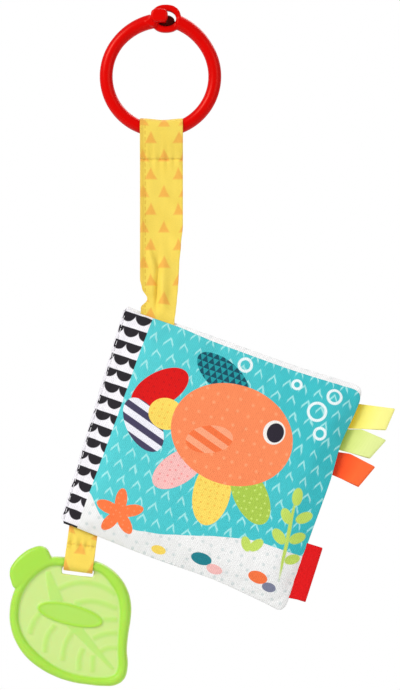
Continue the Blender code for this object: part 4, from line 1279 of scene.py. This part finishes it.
NECK = (
    (-8.4, 27.5), (-6.6, 29.2), (-4.9, 31.3), (-3.2, 32.4), (-2.0, 31.0), (-2.2, 27.6), (-2.7, 25.5),
    (-4.2, 25.0), (-6.2, 25.9),
)


def make_ring(material):
    """A springy C whose left arm ends in a stud that hooks through the eye of its right arm."""
    eye_height = RING_RADIUS + 1.65 * MM
    eye_x, eye_half, eye_tall = 2.8 * MM, 7.7 * MM, 7.15 * MM
    hole_half, hole_tall = 5.2 * MM, 3.9 * MM
    stud_half, stud_tall = 4.35 * MM, 3.45 * MM
    toe_half, toe_tall = 4.3 * MM, 2.9 * MM
    eye_thick, stud_thick, neck_thick, toe_thick = 4.4 * MM, 3.4 * MM, 1.8 * MM, 2.4 * MM
    left = eye_x - eye_half
    start = pi / 2 + atan2(-left - 0.5 * MM, RING_RADIUS)
    end = 2 * pi + atan2(eye_height, eye_x + eye_half - 1.3 * MM)
    bends = 160
    route, swells = [], []
    for k in range(bends + 1):
        turn = start + (end - start) * k / bends
        near_hook, near_eye = max(0, 1 - 8 * k / bends), max(0, 8 * k / bends - 7)
        radius = RING_RADIUS + 1.2 * MM * (near_hook**2 / 2 + near_eye**1.5)
        route.append((radius * cos(turn), 0, radius * sin(turn)))
        swells.append(1 + 0.13 * max(near_hook, near_eye))
    arms = round_tube("arms", [route], RING_TUBE, sides=8, swells=swells)
    hole = oval_line((eye_x, eye_height), hole_half, hole_tall)
    eye_outline = oval_line((eye_x, eye_height), eye_half, eye_tall, 0.85)
    eye = flat_slab("eye", [eye_outline, hole[::-1]], eye_thick, 0.9 * MM)
    back = -2.6 * MM
    stud_centre = (left + stud_half, eye_height + 1.3 * MM)
    stud = flat_slab("stud", [oval_line(stud_centre, stud_half, stud_tall, 0.65)], stud_thick, 1.3 * MM)
    stud.transform(Matrix.Translation((0, back - stud_thick / 2, 0)))
    neck = flat_slab("neck", [[(x * MM, z * MM) for x, z in NECK]], neck_thick, 0.8 * MM)
    neck.transform(Matrix.Translation((0, back - 0.5 * MM, 0)))
    peg_left = eye_x - 4.7 * MM
    peg = block(
        "peg",
        (peg_left, back - stud_thick / 2, eye_height - 2.2 * MM),
        (peg_left + 4.8 * MM, 2.2 * MM, eye_height + 1.7 * MM),
        0.5 * MM,
    )
    toe_line = oval_line((eye_x + 0.1 * MM, eye_height - 0.9 * MM), toe_half, toe_tall)
    toe = flat_slab("toe", [toe_line], toe_thick, 0.6 * MM)
    toe.transform(Matrix.Translation((0, 1.3 * MM, 0)))
    forms = [arms, eye, stud, neck, peg, toe]
    return fused(
        "hanging_ring_gloss", forms, 0.26 * MM, 12, Matrix(), material, "ring"
    )


# The object
sea_front = sea_print("sea_print", True)
sea_back = sea_print("sea_print_back", False)
white = lining_cloth("lining_cloth")
yellow = strap_cloth("yellow_cloth")
gold_thread = thread_finish("gold_thread", "F0CE58")
pale_thread = thread_finish("pale_thread", "F2F0F3")

ring = make_ring(ring_finish())
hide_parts("hanging_ring")
make_hanger_loop(yellow)
strap_front = make_strap("hanger_strap_front", -1, yellow)
make_strap("hanger_strap_back", 1, yellow)
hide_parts("hanger_strap")

pad_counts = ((46, 44))
covers = (("front_cover", -1, COVER_DROP, sea_front, 1), ("back_cover", 1, 0, sea_back, 2))
pads = []
for side, facing, drop, cloth, seed in covers:
    pad = make_pad(
        f"{side}_pad", leaf_corners(COVER_START, drop, COVER_SHY), facing,
        (cover_face_depth, cover_lining_depth), (side, COVER_INNER - 0.2 * MM, COVER_OUT + 1.2 * MM),
        (cloth, white), pad_counts, seed, True,
    )
    pads.append((pad, side))
page = make_pad(
    "page_pad", leaf_corners(PAGE_SEAT, 0, 1.0 * MM), -1, (page_depth, other_page_depth),
    ("book", -1.9 * MM, 1.9 * MM), (white, white), pad_counts, 4, False,
)
for pad, side in pads:
    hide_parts(*[f"{side}_{part}" for part in ("face", "lining", "crinkle_film", "wadding")])
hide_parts("page_front", "page_back", "page_crinkle_film", "page_wadding")
wrap = make_wrap("spine_cloth_front", -1, sea_front)
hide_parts("spine_binding")
make_wrap("spine_cloth_back", 1, sea_back)

# Each ribbon: its corners, its colour, the colour of its painted shade, the colour of its painted shadow at
# the seam, and how crooked its high edge is.
ribbons = (
    ("yellow", ((63.9, 36.3), (65.5, 50.2), (82.9, 53.8), (82.0, 42.2)), "FFFA92", "FBEA4C", "E2C000", 0.0),
    ("lime", ((62.7, 24.3), (63.9, 36.0), (83.8, 37.1), (78.9, 25.7)), "E6F29A", "CCE06A", "93B43A", 1.8),
    ("orange", ((63.0, 11.1), (62.2, 23.2), (83.0, 22.3), (78.2, 10.1)), "FF6A30", "F42E02", "BE1C00", 1.5),
)
for colour, corners, light, dark, seam_shadow, crook in ribbons:
    cloth = ribbon_cloth(f"{colour}_ribbon", light, dark, seam_shadow)
    make_tag(
        f"ribbon_{colour}", f"{colour}_tag_fold", f"ribbon_tag_{colour}",
        cloth, corners, 0.42 * MM, 0.35, crook * MM,
    )
make_tag(
    "side_label_tape", "label_fold", "side_label",
    plain_cloth("red_label", "E60006", pitch=0.6, roughness=0.7),
    ((64.4, -55.2), (63.4, -25.7), (70.9, -25.4), (71.6, -54.1)), 0.4 * MM, 0,
)
make_leaf_loop(yellow)
leaf = make_leaf(leaf_finish())
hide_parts("leaf_teether")

row_height = THROAT + 1.0 * MM
hinge = joint_frame("leaf_swing", up=False)
for side, facing in (("front", -1), ("back", 1)):
    across_strap = [(-10.4 + 0.26 * k) * MM for k in range(81)]
    across_loop = [-7.1 + 0.2 * k for k in range(72)]
    hanger_line = [
        Vector((STRAP_OFFSET + x, facing * (1.28 * MM + seam_gather(x, facing)), row_height))
        for x in across_strap
    ]
    spine_line = []
    corners = leaf_corners(COVER_START, COVER_DROP if facing < 0 else 0)
    for k in range(81):
        spot = plan_point(corners, -1, -0.96 + 1.92 * k / 80)
        spine_line.append(book @ Vector((spot.x - COVER_START + 1.65 * MM, facing * 2.72 * MM, spot.y)))
    leaf_line = [
        hinge @ Vector((x * MM, facing * (0.98 + 0.16 * sin(x / 0.6)) * MM, LEAF_LOOP_NECK))
        for x in across_loop
    ]
    for where, line, length, gap, radius, thread, body, slot in (
        ("hanger", hanger_line, 2.0, 0.7, 0.2, gold_thread, "hanger_loop", "thread"),
        ("spine", spine_line, 2.6, 0.7, 0.16, pale_thread, "book", "white_thread"),
        ("leaf_loop", leaf_line, 1.8, 0.6, 0.2, gold_thread, "leaf_loop", "thread"),
    ):
        row = make_stitches(
            f"{where}_stitches_{side}", line, length * MM, gap * MM, radius * MM, thread, body
        )
        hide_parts(f"{where}_stitching_{side}")



# Studio
MIDDLE = Vector((0.02, 0, -0.15))
FLOOR_RADIUS, FLOOR_HEIGHT = 0.85, -0.42
SENSOR, DISTANCE, VIEW_HEIGHT = 36, 1.5, 0.3526


def lamp_share(shade, share):
    """That share for what the camera sees, a fifth of it in mirrored views, and none for what is lit."""
    rays = shade.node("ShaderNodeLightPath", {}, ()).socket.node.outputs
    names = ("Is Camera Ray", "Is Glossy Ray", "Is Transmission Ray")
    straight, mirrored, through = (Field(shade, rays[name]) for name in names)
    return shade.most(straight, shade.most(mirrored * 0.2, through)) * share


def make_floor(radius, height):
    """A round pale floor that keeps the object's shadow."""
    mesh = bpy.data.meshes.new("floor")
    steps = 96
    turns = [2 * pi * k / steps for k in range(steps)]
    rim = [(radius * cos(turn), radius * sin(turn), height) for turn in turns]
    mesh.from_pydata(rim, [], [range(steps)])
    shade = Shade("floor")
    shade.surface.inputs["Roughness"].default_value = 0.9
    shade.surface.inputs["Base Color"].default_value = (0.88, 0.88, 0.88, 1)
    glow = shade.node("ShaderNodeEmission", {}, {"Color": (1, 1, 1, 1), "Strength": 1.0})
    plain = Field(shade, shade.surface.outputs[0])
    both = shade.node("ShaderNodeMixShader", {}, (lamp_share(shade, 0.6), plain, glow))
    shade.join(shade.tree.nodes["Material Output"].inputs["Surface"], both)
    mesh.materials.append(shade.material)
    piece = linked("floor", mesh)


def soft_lamp(name, place, size, power):
    data = bpy.data.lights.new(name, "AREA")
    data.shape, data.size, data.energy = "SQUARE", size, power
    lamp = linked(name, data)
    lamp.location = place
    lamp.rotation_euler = (MIDDLE - Vector(place)).to_track_quat("-Z", "Y").to_euler()


make_floor(FLOOR_RADIUS, FLOOR_HEIGHT)
soft_lamp("key", (-1.3, -1.15, 0.9), 0.7, 31)
soft_lamp("fill", (1.3, -1.3, 0.2), 1.2, 11)
soft_lamp("rim", (0.5, 0.7, 0.8), 0.9, 8)
world = bpy.data.worlds.new("studio")
bpy.context.scene.world = world
sky = Shade("studio", world)
sky.join(sky.surface.inputs["Strength"], lamp_share(sky, 0.71) + 0.29)
sky.surface.inputs["Color"].default_value = (1, 1, 1, 1)

camera_data = bpy.data.cameras.new("camera")
camera_data.sensor_width = SENSOR
camera_data.lens = SENSOR * DISTANCE / VIEW_HEIGHT
camera_data.clip_end = 20
camera = linked("camera", camera_data)
camera.location = (0.0202, -DISTANCE, -0.1373)
camera.rotation_euler = (pi / 2, 0, 0)
bpy.context.scene.camera = camera
bpy.context.scene.view_settings.view_transform = "Standard"
